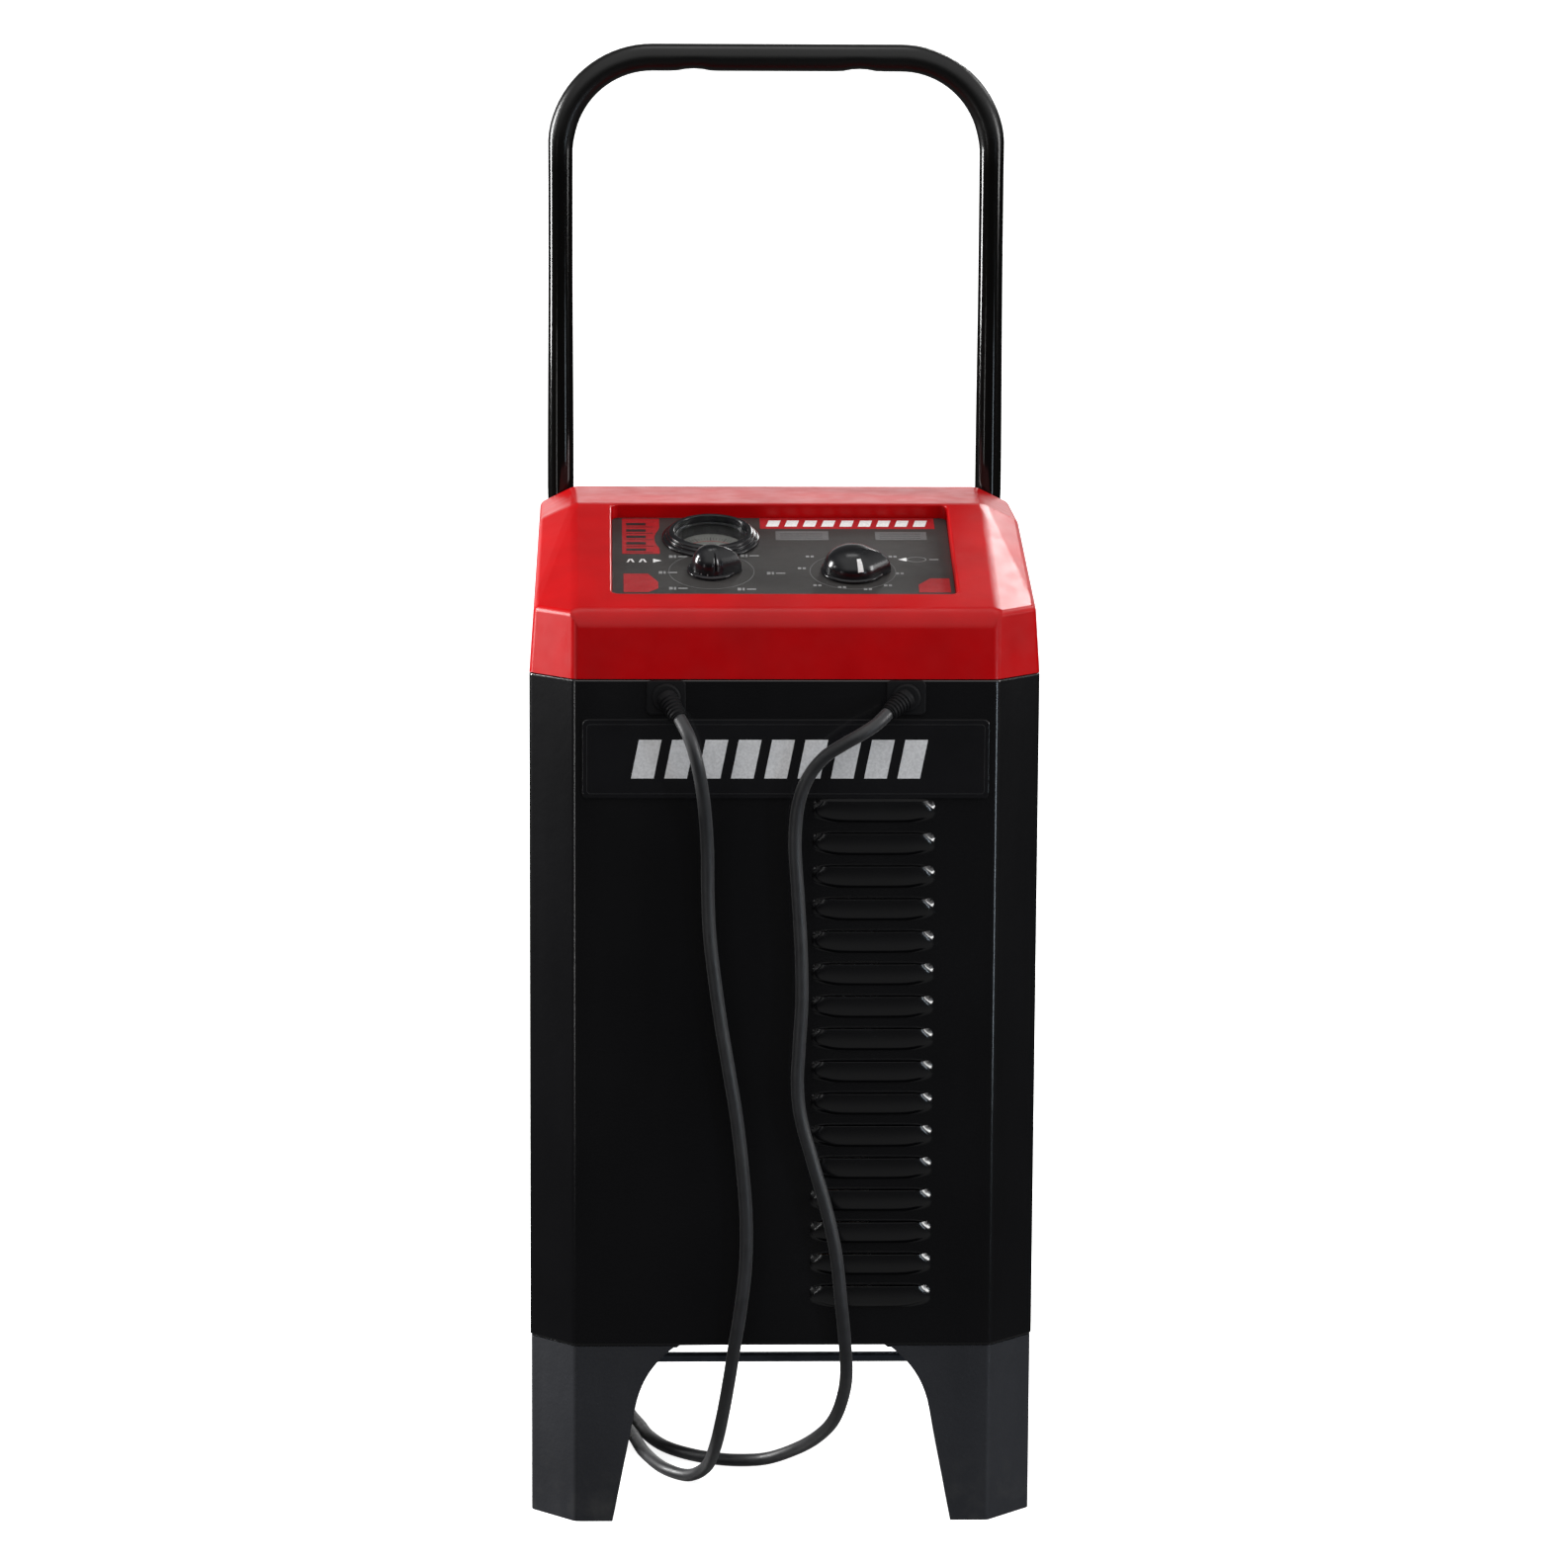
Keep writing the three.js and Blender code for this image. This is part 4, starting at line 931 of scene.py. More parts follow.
def add_cap():
    """A hollow hood, rounded most along its front edge, with a well for the control panel."""
    cap = as_object("cap_moulding", cap_hull(0, CABINET_TOP + 0.3))
    weights = cap.data.attributes.new("bevel_weight_edge", "FLOAT", "EDGE")
    brim = (CABINET_TOP + 5) * MM
    for edge in cap.data.edges:
        a, b = (cap.data.vertices[i].co for i in edge.vertices)
        front = abs(a.x - b.x) > 0.2 and max(a.y, b.y) < at(0, 10, 0).y and min(a.z, b.z) > brim
        weights.data[edge.index].value = 1.0 if front else 0.3 if max(a.z, b.z) > brim else 0.0
    rounding = cap.modifiers.new("rounding", "BEVEL")
    rounding.width = 10.5 * MM
    rounding.segments = 7
    rounding.limit_method = "WEIGHT"
    modified(cap)
    hollow = as_object("hollow", cap_hull(4.6, CABINET_TOP - 5))
    combined(hollow, well_tool([(-WELL_DEPTH - 3.5, 2.2), (30, 2.2)], 5), "DIFFERENCE")
    combined(cap, hollow, "DIFFERENCE")
    rim = 1.5
    fillet = [(-rim * (1 - math.sin(PI / 2 * k / 5)), rim * (1 - math.cos(PI / 2 * k / 5))) for k in range(6)]
    levels = [(-WELL_DEPTH - 1.8, 0), *fillet, (12, rim)]
    combined(cap, well_tool(levels, 5), "DIFFERENCE")
    combined(cap, well_tool([(-25, -4), (5, -4)], 7), "DIFFERENCE")
    dressed(cap, RED, 28)
    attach(cap, "root")
    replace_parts(cap, "top_cap")


add_cap()


# ---------------------------------------------------------------- control panel prints
def printed(name, outlines, material, low=0.0, high=0.09):
    """Thin plates of ink on the panel."""
    plates = [slab("print", outline, low, high, on_panel) for outline in outlines]
    new_object(name, joined(name, plates), material)


def box_outline(left, right, low, high, slant=0.0):
    lean = slant * (high - low)
    return [(left, low), (right, low), (right + lean, high), (left + lean, high)]


def around(centre, lift=0.0, squash=1.0):
    """Turned pieces stand out from the panel round this point."""
    return lambda x, y, h: on_panel(centre[0] + x, centre[1] + squash * y, h + lift)


def printed_ring(name, middle, radius, width, material, squash=1.0):
    section = [(radius, 0), (radius, 0.09), (radius + width, 0.09), (radius + width, 0)]
    add_turned(name, section, around(middle, 0.0, squash), 72, material)


METER, SELECTOR, TIMER = (-46, 139.5), (-46.5, 87), (46, 87)


def meter_side_outline(left, right, low, high):
    """A box whose right side follows a circle round the meter."""
    outline = [(left, low), (left + 17, low)]
    for i in range(13):
        up = low + (high - low) * i / 12
        reach = 37.5**2 - (up - METER[1]) ** 2
        edge = METER[0] - math.sqrt(reach) if reach > 0 else right
        outline.append((min(right, edge), up))
    outline.append((left, high))
    return outline


def add_prints():
    printed("print_band", [box_outline(-13, 103, 156, 173.4)], RED_INK)
    bars = []
    for i in range(9):
        left = -9 + i * 12.2
        bars.append(box_outline(left, left + 8, 159.5, 169.5, 0.2))
    printed("print_band_bars", bars, WHITE_INK, 0.05, 0.14)
    printed("print_tables", [box_outline(-3, 32, 137.5, 152), box_outline(63, 97, 138, 151)], GREY_INK)
    lines = []
    for x, w in ((-3, 31), (63, 30)):
        lines += [box_outline(x + 3, x + w, 140.6 + 3.4 * k, 141.2 + 3.4 * k) for k in range(3)]
    printed("print_table_lines", lines, BLACK_INK, 0.05, 0.13)
    corners = [
        meter_side_outline(-104.7, -80, 115, 172.5),
        [(-104, 54), (-88, 54), (-81.5, 60), (-81.5, 70), (-88, 83), (-104, 83)],
        [(108.6, 54), (108.6, 76), (96, 76), (88, 66), (88, 54)],
    ]
    printed("print_corners", corners, RED_INK)
    rows = [box_outline(-102, -89, 119.5 + 10.4 * k, 123.5 + 10.4 * k) for k in range(5)]
    rows += [box_outline(-102, -84, 116.6 + 10.4 * k, 117.4 + 10.4 * k) for k in range(5)]
    printed("print_corner_lines", rows, BLACK_INK, 0.05, 0.13)
    arrows = [[(-84.5, 101), (-79, 104), (-84.5, 107)], [(82, 103.4), (82, 109.2), (76.6, 106.3)]]
    arrows += [box_outline(-102 + 4 * k, -100.7 + 4 * k, 101.4, 106.6, 0.3 * (-1) ** k) for k in range(4)]
    printed("print_arrows", arrows, WHITE_INK)
    ticks = []
    for x, y in ((-70, 110.5), (-23, 112), (-77, 85), (-6.3, 84), (-70.5, 60), (-26, 58.7)):
        ticks.append(box_outline(x - 4, x - 1.6, y - 2, y + 2))
        ticks.append(box_outline(x - 0.8, x + 0.6, y - 2, y + 2))
        ticks.append(box_outline(x + 2, x + 8, y - 0.9, y + 0.9))
    for x, y in ((18.5, 111), (12.7, 92), (22, 65), (38, 62), (54.7, 59), (68, 65), (76.5, 84), (73, 111)):
        ticks.append(box_outline(x - 2.6, x - 0.4, y - 1.4, y + 1.4))
        ticks.append(box_outline(x + 0.6, x + 2.6, y - 1.4, y + 1.4))
    ticks.append(box_outline(97, 103, 105.5, 107))
    printed("print_ticks", ticks, DIM_INK_AND_PAINTED_GLINT)
    printed_ring("print_selector_ring", SELECTOR, 27.6, 0.5, GREY_INK)
    printed_ring("print_timer_ring", TIMER, 27.8, 0.5, GREY_INK)
    printed_ring("print_oval", (88.5, 106.3), 6, 0.6, DIM_INK_AND_PAINTED_GLINT, 0.6)


add_prints()


# ---------------------------------------------------------------- meter
SCALE_START, SCALE_SWEEP = 43, 94
SCALE_LOW, SCALE_HIGH = -6.52, -6.42


def add_scale(pivot):
    """Marks and a red arc on the dial, round the needle's pivot."""
    plates = []
    for i in range(21):
        along, side = axes(math.radians(SCALE_START + SCALE_SWEEP * i / 20))
        inner, outer, half = (21.5, 26.5, 0.35) if i % 5 == 0 else (23, 26, 0.18)
        corners = ((inner, -half), (outer, -half), (outer, half), (inner, half))
        outline = [tuple(pivot + along * r + side * s) for r, s in corners]
        plates.append(slab("mark", outline, SCALE_LOW, SCALE_HIGH, on_panel))
    new_object("meter_marks", joined("meter_marks", plates), BLACK_INK)
    turns = [math.radians(SCALE_START + SCALE_SWEEP * i / 40) for i in range(41)]
    arc = []
    for r, h in ((20.2, SCALE_LOW), (20.2, SCALE_HIGH), (20.9, SCALE_HIGH), (20.9, SCALE_LOW)):
        arc.append([on_panel(pivot.x + r * math.cos(t), pivot.y + r * math.sin(t), h) for t in turns])
    faces = grid_faces(4, 41, closed_rows=True)
    faces += [tuple(i * 41 for i in range(4)), tuple(i * 41 + 40 for i in range(4))]
    new_object("meter_arc", ring_mesh("meter_arc", arc, faces), RED_INK)


def add_meter():
    place = around(METER)
    profile = [(24.1, 0.3), (32.5, 0.3), (32.5, 1.6), (31, 2.5), (29.9, 2.5), (29.9, 4.2)]
    profile += [(28.3, 4.6), (28.3, 5.6), (26.9, 6.5), (24.1, 6.5)]
    rim = add_turned("meter_rim", softened(profile, 0.8), place, 96, GLOSS)
    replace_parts(rim, "meter_bezel")
    throat = softened([(21.4, -6.6), (23.2, -6.6), (24.3, 0.9), (23.5, 0.9)], 0.3)
    add_turned("meter_throat", throat, place, 72, BLACK)
    dial = softened([(0.01, -7.4), (21.6, -7.4), (21.6, -6.5), (0.01, -6.5)], 0.1)
    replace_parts(add_turned("meter_card", dial, place, 72, SHADED_DIAL), "meter_dial")
    add_scale(Vector((METER[0], METER[1] - 11)))
    window = softened([(0.01, 1.0), (23.8, 1.0), (23.8, 2.2), (0.01, 2.2)], 0.15)
    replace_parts(add_turned("meter_window", window, place, 72, GLASS), "meter_lens")


add_meter()


# ---------------------------------------------------------------- knobs
KNOB_LIFT, KNOB_FOOT = 0.5, 0.3
KNOB_TURN = Matrix.Rotation(math.radians(-4), 2)


def dome_width(level):
    """A knob's share of its full width at a share of its height."""
    return (1 - level**2.6) ** (1 / 2.2)


def knob_outline(radius, nose, steps=40):
    """A round back that narrows to a rounded nose towards +X."""
    tip = 2.0
    lean = math.acos((radius - tip) / (nose - tip))
    points = []
    arcs = ((0, radius, lean, 2 * PI - lean, steps), (nose - tip, tip, -lean, lean, 10))
    for centre, r, start, end, count in arcs:
        for i in range(count + 1):
            turn = start + (end - start) * i / count
            points.append(Vector((centre + r * math.cos(turn), r * math.sin(turn))))
    return points


def add_knob(name, middle, radius, nose, height, skirt, grooves):
    """A domed knob with finger grooves towards its nose, on a round skirt."""
    turn = KNOB_TURN
    outline = knob_outline(radius, nose)
    place = around(middle, KNOB_LIFT)
    rings = [[place(*(turn @ (p * 0.4)), KNOB_FOOT) for p in outline]]
    for k in range(19):
        level = math.sin(PI / 2 * k / 18)
        width = max(0.02, dome_width(level))
        ring = []
        for p in outline:
            pinch = 1.0
            if grooves and p.x > radius * 0.2 and abs(p.y) > 1.5:
                pinch = 1 - 0.12 * (0.5 + 0.5 * math.cos(p.x * grooves)) * eased(level, 0.05, 0.3)
            q = turn @ Vector((p.x * width, p.y * width * pinch))
            ring.append(place(q.x, q.y, KNOB_FOOT + level * (height - KNOB_FOOT)))
        rings.append(ring)
    body = name.split("_")[0]
    knob = new_object(f"{name}_grip", lofted(f"{name}_grip", rings), GLOSS, body, 50)
    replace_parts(knob, name)
    ledge = softened([(2, 0), (skirt, 0), (skirt, 1.5), (skirt - 1.4, 2.3), (2, 2.3)], 0.5)
    add_turned(f"{name}_skirt", ledge, place, 72, GLOSS, body)


def knob_mark(name, middle, radius, height, places, levels, material):
    """A raised bar up the side of a knob's round back.

    places are x on its outline, levels shares of its height.
    """
    place, turn = around(middle, KNOB_LIFT), KNOB_TURN
    rings = []
    for k in range(13):
        level = levels[0] + (levels[1] - levels[0]) * k / 12
        width = dome_width(level)
        ring = []
        for x, proud in ((places[0], -0.5), (places[1], -0.5), (places[1], 0.12), (places[0], 0.12)):
            reach = math.sqrt(radius**2 - x * x)
            grown = 1 + proud / radius
            q = turn @ Vector((x * width * grown, -reach * width * grown))
            up = KNOB_FOOT + level * (height - KNOB_FOOT) + max(0.0, proud) * level
            ring.append(place(q.x, q.y, up))
        rings.append(ring)
    new_object(name, lofted(name, rings), material, name.split("_")[0])


add_knob("selector_knob", SELECTOR, 13.5, 20, 18, 16, 1.9)
add_knob("timer_knob", TIMER, 19.5, 25, 17, 21, 0)
knob_mark("timer_mark", TIMER, 19.5, 17, (4.0, 7.8), (0.4, 0.82), WHITE_INK)
# The selector's small grey bar low on its front-left is a painted glint: a highlight on the knob, drawn as a
# raised grey bar.
knob_mark("selector_mark", SELECTOR, 13.5, 18, (-6.5, -1.5), (0.06, 0.16), DIM_INK_AND_PAINTED_GLINT)


# ---------------------------------------------------------------- handle
TUBE, HANDLE_X, HANDLE_Y = 8, 146, DEPTH + 10
HANDLE_TOP, HANDLE_LOW, HANDLE_BEND = 950, 330, 62


def handle_line():
    """Up the left leg, over the top and down the right leg."""
    corner, top = HANDLE_X - HANDLE_BEND, HANDLE_TOP - TUBE
    knee = top - HANDLE_BEND
    half = [at(HANDLE_X, HANDLE_Y, HANDLE_LOW + (knee - HANDLE_LOW) * i / 24) for i in range(24)]
    for i in range(21):
        turn = i / 20 * PI / 2
        x, z = corner + HANDLE_BEND * math.cos(turn), knee + HANDLE_BEND * math.sin(turn)
        half.append(at(x, HANDLE_Y, z))
    across = [at(-corner + 2 * corner * i / 30, HANDLE_Y, top) for i in range(1, 30)]
    return [Vector((-p.x, p.y, p.z)) for p in half] + across + half[::-1]


def add_handle():
    line = handle_line()
    top = (HANDLE_TOP - TUBE - HANDLE_BEND) * MM

    def squeeze(i, away):
        """The tube swells into the grip and towards the cap, with two dents under the top bar."""
        p = line[i]
        grip = eased(p.z, top - 0.004, top + 0.014)
        foot = eased(p.z, CAP_TOP_Z * MM + 0.16, CAP_TOP_Z * MM) * eased(p.z, 0.63, 0.65)
        dent = max(0.0, 1 - ((abs(p.x) - 0.056) / 0.012) ** 2) if p.z > top + 0.05 else 0.0
        return 1.03 + 0.08 * grip + 0.08 * foot + (0.07 * grip - 0.2 * dent) * max(0.0, -away.z)

    mesh = swept("handle_tube", line, TUBE * MM, 32, squeeze)
    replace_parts(new_object("handle_tube", mesh, HANDLE_BLACK), "handle")


add_handle()


# ---------------------------------------------------------------- wheels
WHEEL_X, WHEEL_Y, WHEEL_Z = 129, 204, 55


def on_axle(sign):
    """Turned pieces stand outwards along the axle from the wheel's inner face."""
    return lambda x, y, h: at(sign * (WHEEL_X + h), WHEEL_Y + y, WHEEL_Z - sign * x)


def tyre_mesh(name, sign):
    def groove(i, radius, height):
        """Grooves across both shoulders, between the blocks."""
        return 1.3 if radius > 50 and not 10 < height < 22 and i % 5 == 0 else 0

    profile = [(37.1, 1), (46, 0), (52, 2), (55, 6), (55, 11), (53.6, 11.6), (53.6, 13.4), (55, 14)]
    profile += [(55, 18), (53.6, 18.6), (53.6, 20.4), (55, 21), (55, 26), (52, 30), (46, 32), (37.1, 31)]
    return turned(name, softened(profile, 1.2, 3), on_axle(sign), 160, groove)


def hub_mesh(name, sign):
    profile = [(3.8, -7.5), (9, -7.5), (11, 2), (31, 12), (33, 10), (33, 1.5), (37, 1.5), (37, 30.5)]
    profile += [(33.4, 30.5), (33, 19), (31, 17), (14, 19.5), (11, 22), (10, 32), (3.8, 32)]
    place = on_axle(sign)
    parts = [turned("hub", softened(profile, 1.0, 3), place, 72)]
    for i in range(6):
        along, side = axes(i * PI / 3)

        def spoke(x, y, h, along=along, side=side):
            q = along * x + side * y
            return place(q.x, q.y, h)

        outline = [(10.5, -1.4), (33.2, -1.4), (33.2, 1.4), (10.5, 1.4)]
        parts.append(slab("rib", outline, 15, 25.5, spoke, 0.8))
    return joined(name, parts)


def add_wheel(side, sign):
    body = f"wheel_{side}"
    name = f"tyre_{side}_tread"
    tyre = new_object(name, tyre_mesh(name, sign), TYRE, body, 30)
    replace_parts(tyre, f"tyre_{side}")
    hub = new_object(f"hub_{side}", hub_mesh(f"hub_{side}", sign), BLACK, body)
    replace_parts(hub, f"wheel_hub_{side}")
    cap = [(0.01, 34.4), (3.8, 34.4), (3.8, 32.3), (7.5, 32.3), (7.2, 34), (5, 35.4), (0.01, 35.7)]
    nut = add_turned(f"axle_nut_{side}", softened(cap, 0.5), on_axle(sign), 48, ZINC)
    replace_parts(nut, f"axle_cap_{side}")


for side, sign in SIDES:
    add_wheel(side, sign)


# ---------------------------------------------------------------- strain reliefs and gland
REARWARD = (0, 1, 0)


def along(origin, aim):
    """Turned pieces stand along aim from origin, both given in millimetres."""
    turn = Vector((0, 0, 1)).rotation_difference(Vector(aim).normalized()).to_matrix()

    def place(x, y, h):
        q = turn @ Vector((x, y, h))
        return at(origin[0] + q.x, origin[1] + q.y, origin[2] + q.z)

    return place


def add_boot(side, sign):
    """A ribbed, tapered strain relief with a square flange on the cabinet."""
    origin = (sign * EXIT_X, 0, EXIT_Z)
    profile = [(4.3, 0.6), (7.6, 0.6), (7.6, 2.6)]
    for i in range(6):
        start, big = 3.4 + i * 2.65, 7.3 - i * 0.34
        profile += [(big, start), (big, start + 1.5), (big - 0.9, start + 1.9), (big - 0.9, start + 2.5)]
    profile += [(5.3, BOOT_LENGTH - 0.4), (4.9, BOOT_LENGTH), (4.3, BOOT_LENGTH)]
    boot = turned("boot", softened(profile, 0.3, 2), along(origin, AIM[side]), 48)
    place = on_front(origin[0], EXIT_Z)
    flange = slab("flange", rounded_rectangle(25, 22, 3), 0, 2.5, place, 0.8)
    section = softened([(3, 2), (9.4, 2), (9.2, 3.4), (8.2, 4.2), (3, 4.2)], 0.4)
    collar = turned("collar", section, place, 40)
    name = f"boot_{side}"
    obj = new_object(name, joined(name, [boot, flange, collar]), BOOT)
    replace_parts(obj, f"strain_relief_{side}")
    return obj


def add_gland():
    profile = [(4.4, -10), (7, -10), (7, 0.3), (11, 0.3), (11, 4.5), (9, 6), (8.6, 7.5), (7.9, 8)]
    profile += [(7.9, 9.5), (7.2, 10), (7.2, 11.5), (6.7, 12), (6.7, 14), (6, 15), (4.4, 15)]
    place = along((60, DEPTH, 165), REARWARD)
    gland = add_turned("cord_gland", softened(profile, 0.4, 3), place, 48, BLACK)
    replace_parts(gland, "power_cord_gland")


BOOTS = {side: add_boot(side, sign) for side, sign in SIDES}
add_gland()


# ---------------------------------------------------------------- screws
def screw(place):
    """A hexagon head on its washer flange."""
    section = softened([(0.01, 0), (4.6, 0), (4.6, 0.7), (3.6, 1.2), (0.01, 1.2)], 0.2, 2)
    flange = turned("flange", section, place, 32)
    hexagon = [(3.5 * math.cos(PI / 3 * i), 3.5 * math.sin(PI / 3 * i)) for i in range(6)]
    head = slab("head", hexagon, 1, 3, place, 0.4)
    return [flange, head]


def add_screws():
    rear, clips = [], []
    for x, z in ((158.5, 150), (158.5, 300), (158.5, 412), (110, 545)):
        for sign in (-1, 1):
            rear += screw(along((sign * x, DEPTH, z), REARWARD))
    for z in (371, 531):
        for sign in (-1, 1):
            clips += screw(along((sign * 128.8, DEPTH + 2.3, z), REARWARD))
    new_object("rear_screws", joined("rear_screws", rear), ZINC)
    new_object("clip_screws", joined("clip_screws", clips), ZINC)


add_screws()


# ---------------------------------------------------------------- battery clamps
CLAMP_HEIGHT = 24  # a clamp lies on its side, so this is the width of its jaws
# Colour, middle, turn, side of the fixed jaw and material of the clamp on each cable.
CLAMPS = {
    "left": ("black", (25, 590), 0.0, -1, CLAMP_BLACK),
    "right": ("red", (126, 555), PI / 2, 1, CLAMP_RED),
}


def quadratic(a, b, c, steps=10):
    return [tuple(bezier(a, b, c, k / steps)) for k in range(steps)]


def clamp_outline():
    """One half seen from above, pivot at the origin and jaw towards +X, on the -Y side."""
    points = quadratic((-62, -22), (-28, -18), (-14, -11.5))
    points += quadratic((-14, -11.5), (20, -14.5), (46, -7))
    points += [(46, -7), (59, -5.2), (60, -4.6), (60, -0.9), (59.4, -0.5), (45, -0.5)]
    points += quadratic((45, -0.5), (20, -10), (-12, -8.5))[1:]
    points += quadratic((-12, -8.5), (-28, -15), (-62, -19))
    points += [(-61.6, -19.2), (-62.4, -20.4)]
    return points


def on_half(place, side):
    """The half drawn on the -Y side, or turned over for the other side."""
    if side < 0:
        return place
    return lambda x, y, z: place(x, -y, CLAMP_HEIGHT - z)


def bars(name, outline, levels, put):
    return lofted(name, [[put(x, y, z) for x, y in outline] for z in levels])


def clamp_half_mesh(name, put, ear_low):
    parts = [slab("bar", clamp_outline(), 1.4, 22.6, put, 0.0)]
    ear = [(-13, -9.5), (-6, 3), (-4.4, 4.8), (-2, 5.5), (2, 5.5), (4.4, 4.8), (6, 3), (13, -9.8)]
    for z in (ear_low, CLAMP_HEIGHT - 2 - ear_low):
        parts.append(bars("ear", ear, (z, z + 2), put))
    for i in range(9):
        x = -60 + i * 4.2
        y = -21.9 + 0.115 * (x + 62)
        rib = [(x, y + 0.4), (x + 0.6, y - 0.55), (x + 1.6, y - 0.55), (x + 2.2, y + 0.4)]
        parts.append(bars("rib", rib, (2.4, 21.6), put))
    return joined(name, parts)


def clamp_teeth_mesh(name, put):
    parts = []
    for i in range(7):
        x = 45.6 + i * 2
        parts.append(bars("tooth", [(x, -0.7), (x + 2, -0.7), (x + 1, -0.02)], (3.4, 20.6), put))
    return joined(name, parts)


def clamp_spring_mesh(name, place):
    """A coil round the pin, and a leg from each of its ends."""
    coil = []
    turns, count = 6, 120
    for i in range(count + 1):
        angle = 2 * PI * turns * i / count
        coil.append(place(4.1 * math.cos(angle), 4.1 * math.sin(angle), 7.2 + 9.6 * i / count))
    first = [place(-9 + 1.5 * k, 4.1, 7.2) for k in range(6)]
    last = [place(-1.5 * k, -4.1, 16.8) for k in range(1, 7)]
    legs = [swept("leg", line, 0.7 * MM, 10) for line in (first, last)]
    return joined(name, [swept("wound", coil, 0.75 * MM, 10), *legs])


def add_clamp(side, colour, middle, turn, fixed, material):
    def place(x, y, z):
        across, back = x * math.cos(turn) - y * math.sin(turn), x * math.sin(turn) + y * math.cos(turn)
        return at(middle[0] + across, middle[1] + back, z)

    clamp = f"clamp_{colour}"
    pieces = []
    for kind, sense, ear, body in (("fixed", fixed, 1, "root"), ("moving", -fixed, 3.4, f"{colour}_jaw")):
        name = f"{clamp}_{kind}"
        put = on_half(place, sense)
        half = new_object(name, clamp_half_mesh(name, put, ear), material, body, 30)
        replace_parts(half, f"{name}_jaw")
        name = f"{name}_teeth"
        teeth = new_object(name, clamp_teeth_mesh(name, put), COPPER_PLATE, body, 20)
        pieces += [half, teeth]
    name = f"{clamp}_coil"
    spring = new_object(name, clamp_spring_mesh(name, place), ZINC)
    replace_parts(spring, f"{clamp}_spring")
    rivet = softened([(0.01, 0.5), (2.5, 0.5), (2.5, 23.5), (0.01, 23.5)], 0.5)
    pin = add_turned(f"{clamp}_rivet", rivet, place, 32, ZINC)
    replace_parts(pin, f"{clamp}_pin")
    ferrule = softened([(4.3, 0), (5.2, 0), (5.2, 9), (4.3, 9)], 0.3)
    crimp = add_turned(f"{clamp}_crimp", ferrule, crimp_place(side), 32, COPPER_PLATE)
    return [*pieces, spring, pin, crimp]


def crimp_place(side):
    """The ferrule sits on the last stretch of the cable."""
    end, before = Vector(TAILS[side][-1]), Vector(TAILS[side][-2])
    turn = Vector((0, 0, 1)).rotation_difference((end - before).normalized()).to_matrix()
    return lambda x, y, h: end + turn @ (Vector((x, y, h - 9)) * MM)


CLAMP_PIECES = {side: add_clamp(side, *facts) for side, facts in CLAMPS.items()}


# ---------------------------------------------------------------- ties round the stored cable
def tie_mesh(name, side, angle):
    """A strap round both turns of a coil, at an angle on it."""
    middle = Vector(COILS[side][0])
    out, across = axes(math.radians(angle))
    outline = rounded_rectangle(19.6, 9.2, 4.2, 6)
    rings = []
    for width, grow in ((-7, 0), (7, 0), (7, 1), (-7, 1)):
        ring = []
        for x, z in outline:
            q = middle + out * (49.9 + x * (1 + grow / 9.8)) + across * width
            ring.append(at(q.x, q.y, max(0.02 + 0.6 * (1 - grow), 4.5 + z * (1 + grow / 4.6))))
        rings.append(ring)
    return looped(name, rings)


def add_ties(side):
    ties = []
    for i, angle in enumerate((20, -70) if side == "left" else (60, 150)):
        name = f"tie_{side}_{i + 1}"
        ties.append(new_object(name, tie_mesh(name, side, angle), STRAP))
    return ties


for side, sign in SIDES:
    line = [Vector(p.co[:3]) for p in CABLES[side].data.splines[0].points]
    tuple(at(sign * EXIT_X, 0, EXIT_Z))
    round(line_length(line), 3)
    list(CLAMP_PIECES[side])
    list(add_ties(side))


# ---------------------------------------------------------------- frame parts that stay
def refined(name, material):
    """A copy of a CAD part with its edges softened, which stands for it."""
    node = frame["nodes"][name]
    bm = bmesh.new()
    bm.from_mesh(node.data)
    bm.transform(node.matrix_world)
    bmesh.ops.remove_doubles(bm, verts=bm.verts, dist=2e-6)
    bmesh.ops.dissolve_limit(bm, angle_limit=math.radians(0.5), verts=bm.verts, edges=bm.edges)
    obj = as_object(f"{name}_finish", bm)
    eased_edges(obj, 0.5, 40)
    modified(obj)
    dressed(obj, material)
    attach(obj, body_of(node)[0])
    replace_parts(obj, name)


KEPT = {
    "control_panel": FILM,
    "meter_case": BLACK,
    "meter_needle": BLACK_INK,
    "axle": STEEL,
    "base_plate": CHARCOAL,
    "selector_shaft": ZINC,
    "timer_shaft": ZINC,
    "selector_switch": BLACK,
    "timer_movement": ZINC,
    "handle_plug_left": BLACK,
    "handle_plug_right": BLACK,
    "transformer_core": LAMINATED,
    "transformer_winding": COPPER,
    "transformer_cradle": ZINC,
    "rectifier_plate": ALUMINIUM,
    "rectifier_diode_left": ZINC,
    "rectifier_diode_right": ZINC,
    "circuit_breaker": BLACK,
}
for name, material in KEPT.items():
    data = frame["nodes"][name].data
    for i in range(max(1, len(data.materials))):
        if i < len(data.materials):
            data.materials[i] = material
        else:
            data.materials.append(material)

refined("rear_panel", CABINET)
for side, _ in SIDES:
    for part in ("axle_bracket", "handle_clip_lower", "handle_clip_upper"):
        refined(f"{part}_{side}", CHARCOAL)


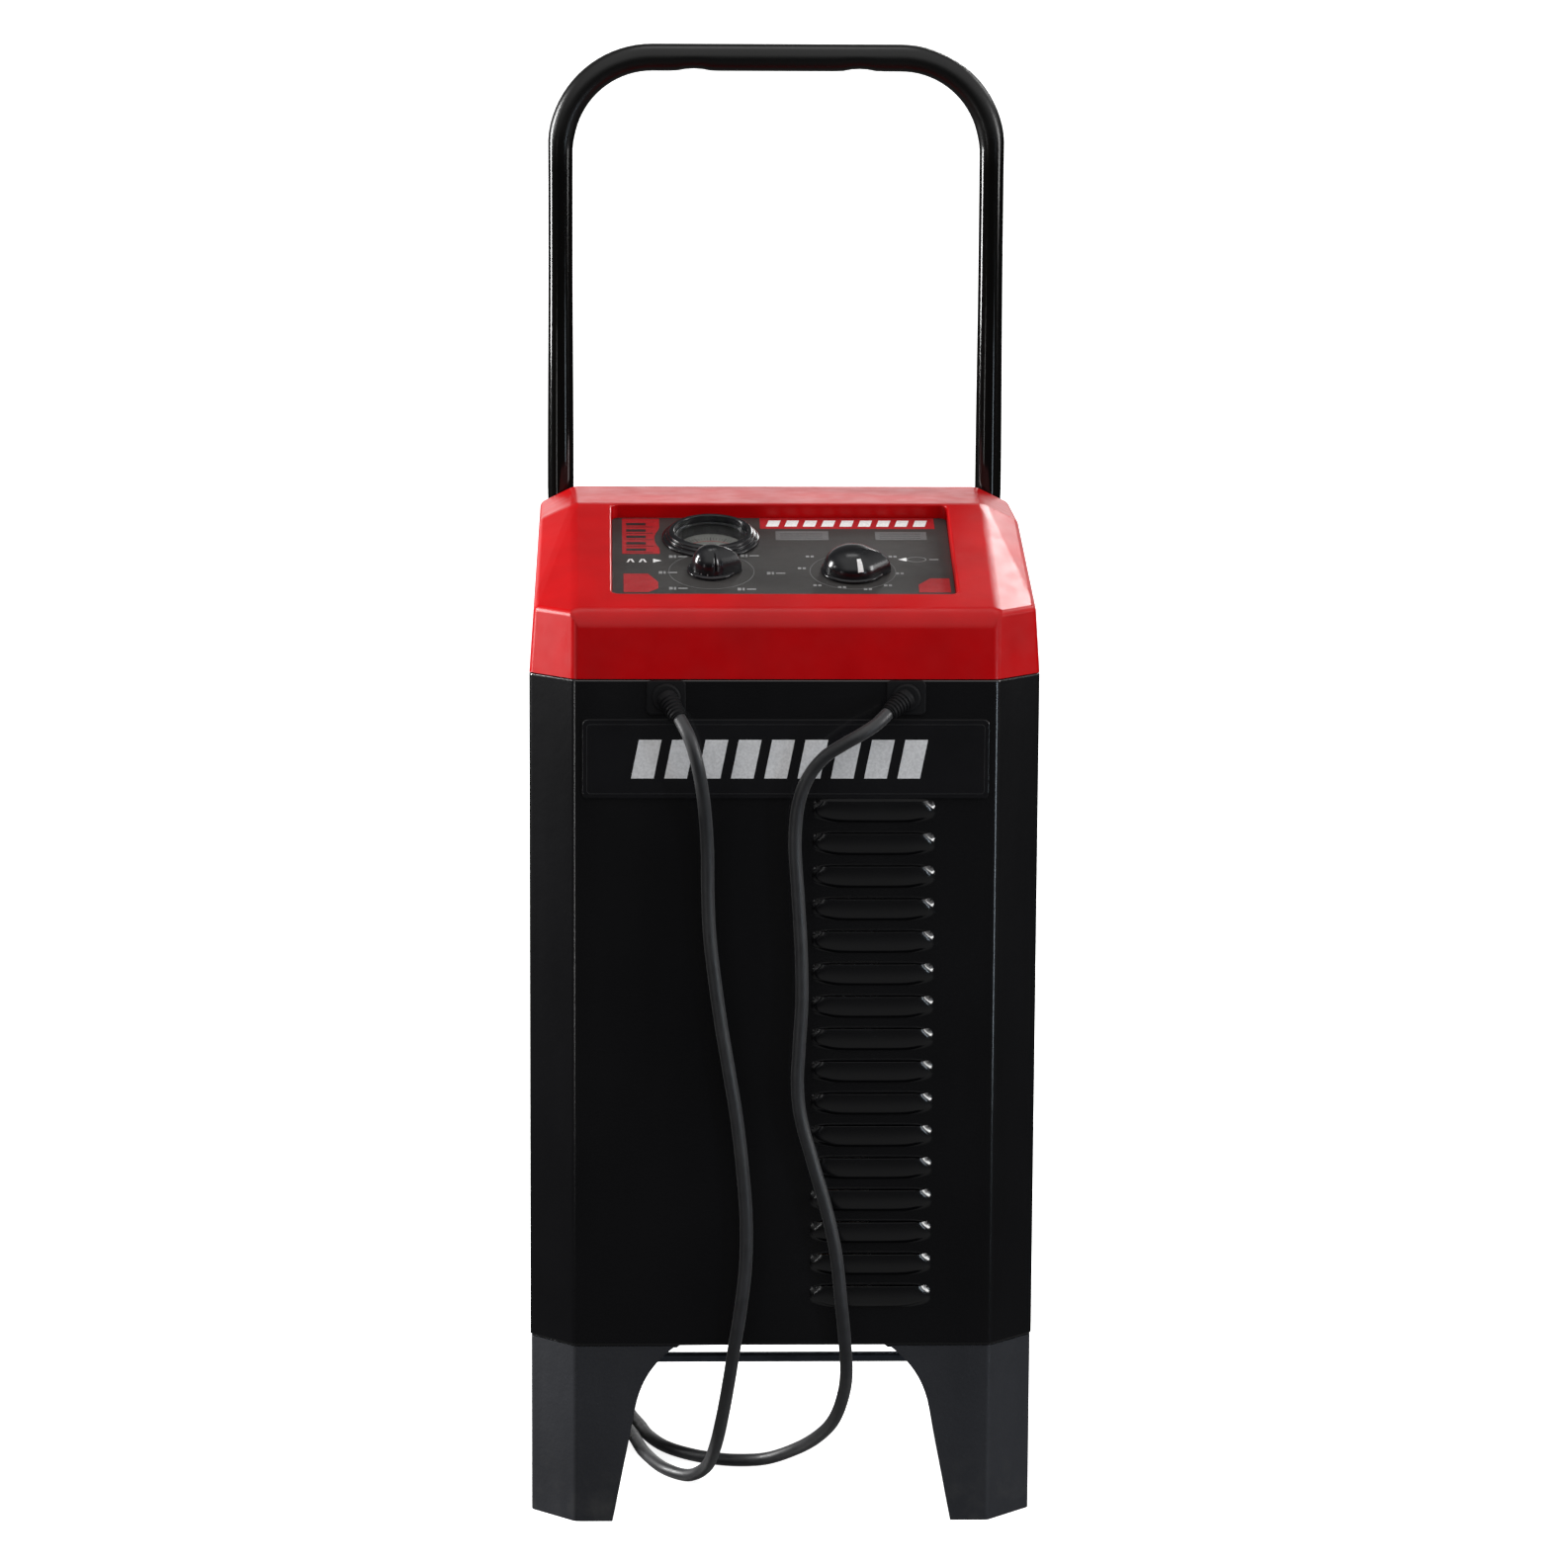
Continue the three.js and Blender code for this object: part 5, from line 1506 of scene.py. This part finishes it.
# ---------------------------------------------------------------- floor and light
def add_floor():
    mesh = bpy.data.meshes.new("floor")
    reach = 40
    corners = [(sx * reach, sy * reach, 0) for sx, sy in ((-1, -1), (1, -1), (1, 1), (-1, 1))]
    mesh.from_pydata(corners, [], [(0, 1, 2, 3)])
    floor = linked("floor", mesh)
    p = Paint("floor_paint", 0.9)
    p.link(p.mix(p.noise(1.5, 2), (0.86, 0.86, 0.86), (0.9, 0.9, 0.9)), "Base Color")
    p.set("Specular IOR Level", 0.0)
    p.set("Emission Color", (1, 1, 1, 1))
    p.set("Emission Strength", 0.86)
    mesh.materials.append(p.material)
    floor.visible_glossy = False
    floor.visible_diffuse = False


def add_light(name, place, aim, size, power, colour=(1, 1, 1)):
    data = bpy.data.lights.new(name, "AREA")
    data.shape = "RECTANGLE"
    data.size, data.size_y = size
    data.energy = power
    data.color = colour
    light = linked(name, data)
    light.location = place
    light.rotation_euler = (Vector(aim) - Vector(place)).to_track_quat("-Z", "Y").to_euler()


def add_world():
    """A room lit from the front, dim overhead at the back, with a white screen low behind the object."""
    world = bpy.data.worlds.new("studio")
    bpy.context.scene.world = world
    world.use_nodes = True
    tree = world.node_tree
    split = {"Vector": wired(tree, "TexCoord", "Generated", {})}

    def fade(axis, *numbers):
        """From one value to another as a coordinate goes from low to high: low, high, the two values."""
        return ranged(tree, wired(tree, "SeparateXYZ", axis, split), *numbers, how="SMOOTHSTEP")

    def product(first, *others):
        for other in others:
            first = reckoned(tree, "MULTIPLY", first, other)
        return first

    room = product(
        fade("Y", -0.3, 0.6, 1.28, 0.12),
        fade("X", -0.95, -0.4, 0.1, 1.0),
        fade("Z", 0.0, 0.34, 0.02, 1.0),
    )
    screen = product(
        fade("Y", 0.8, 0.95, 0.0, 1.0),
        fade("Z", 0.12, 0.5, 1.0, 0.0),
        fade("Z", -0.02, 0.04, 0.0, 1.3),
    )
    bounce = fade("Z", -0.75, -0.22, 0.13, 0.0)
    whole = reckoned(tree, "ADD", reckoned(tree, "ADD", room, screen), bounce)
    background = tree.nodes["Background"]
    tree.links.new(whole, background.inputs["Strength"])
    background.inputs["Color"].default_value = (1, 1, 1, 1)


add_floor()
add_world()
add_light("top_softbox", (0, 0.3, 3.0), (0, 0.1, 0.6), (0.9, 0.5), 5)
add_light("left_softbox", (-2.45, 0.5, 1.15), (0, 0.1, 0.7), (0.3, 1.3), 126)
add_light("right_softbox", (2.2, 1.5, 2.3), (0, 0.1, 0.6), (0.9, 0.9), 14)
add_light("back_right_lamp", (0.85, 2.2, 2.0), (0.1, 0.1, 0.62), (0.5, 0.5), 15)
add_light("right_front_lamp", (2.4, -0.6, 1.05), (0, -0.1, 0.4), (0.6, 0.8), 26)
add_light("left_front_lamp", (-2.4, -0.55, 1.3), (0, -0.1, 0.5), (0.1, 0.1), 4)
add_light("left_low_strip", (-1.0, -1.05, 0.32), (-0.14, -0.1, 0.3), (0.06, 0.6), 1.2)
add_light("right_low_strip", (1.0, -1.05, 0.32), (0.14, -0.1, 0.3), (0.1, 0.6), 2.4, (0.75, 0.88, 1))

bpy.context.scene.view_settings.view_transform = "Standard"
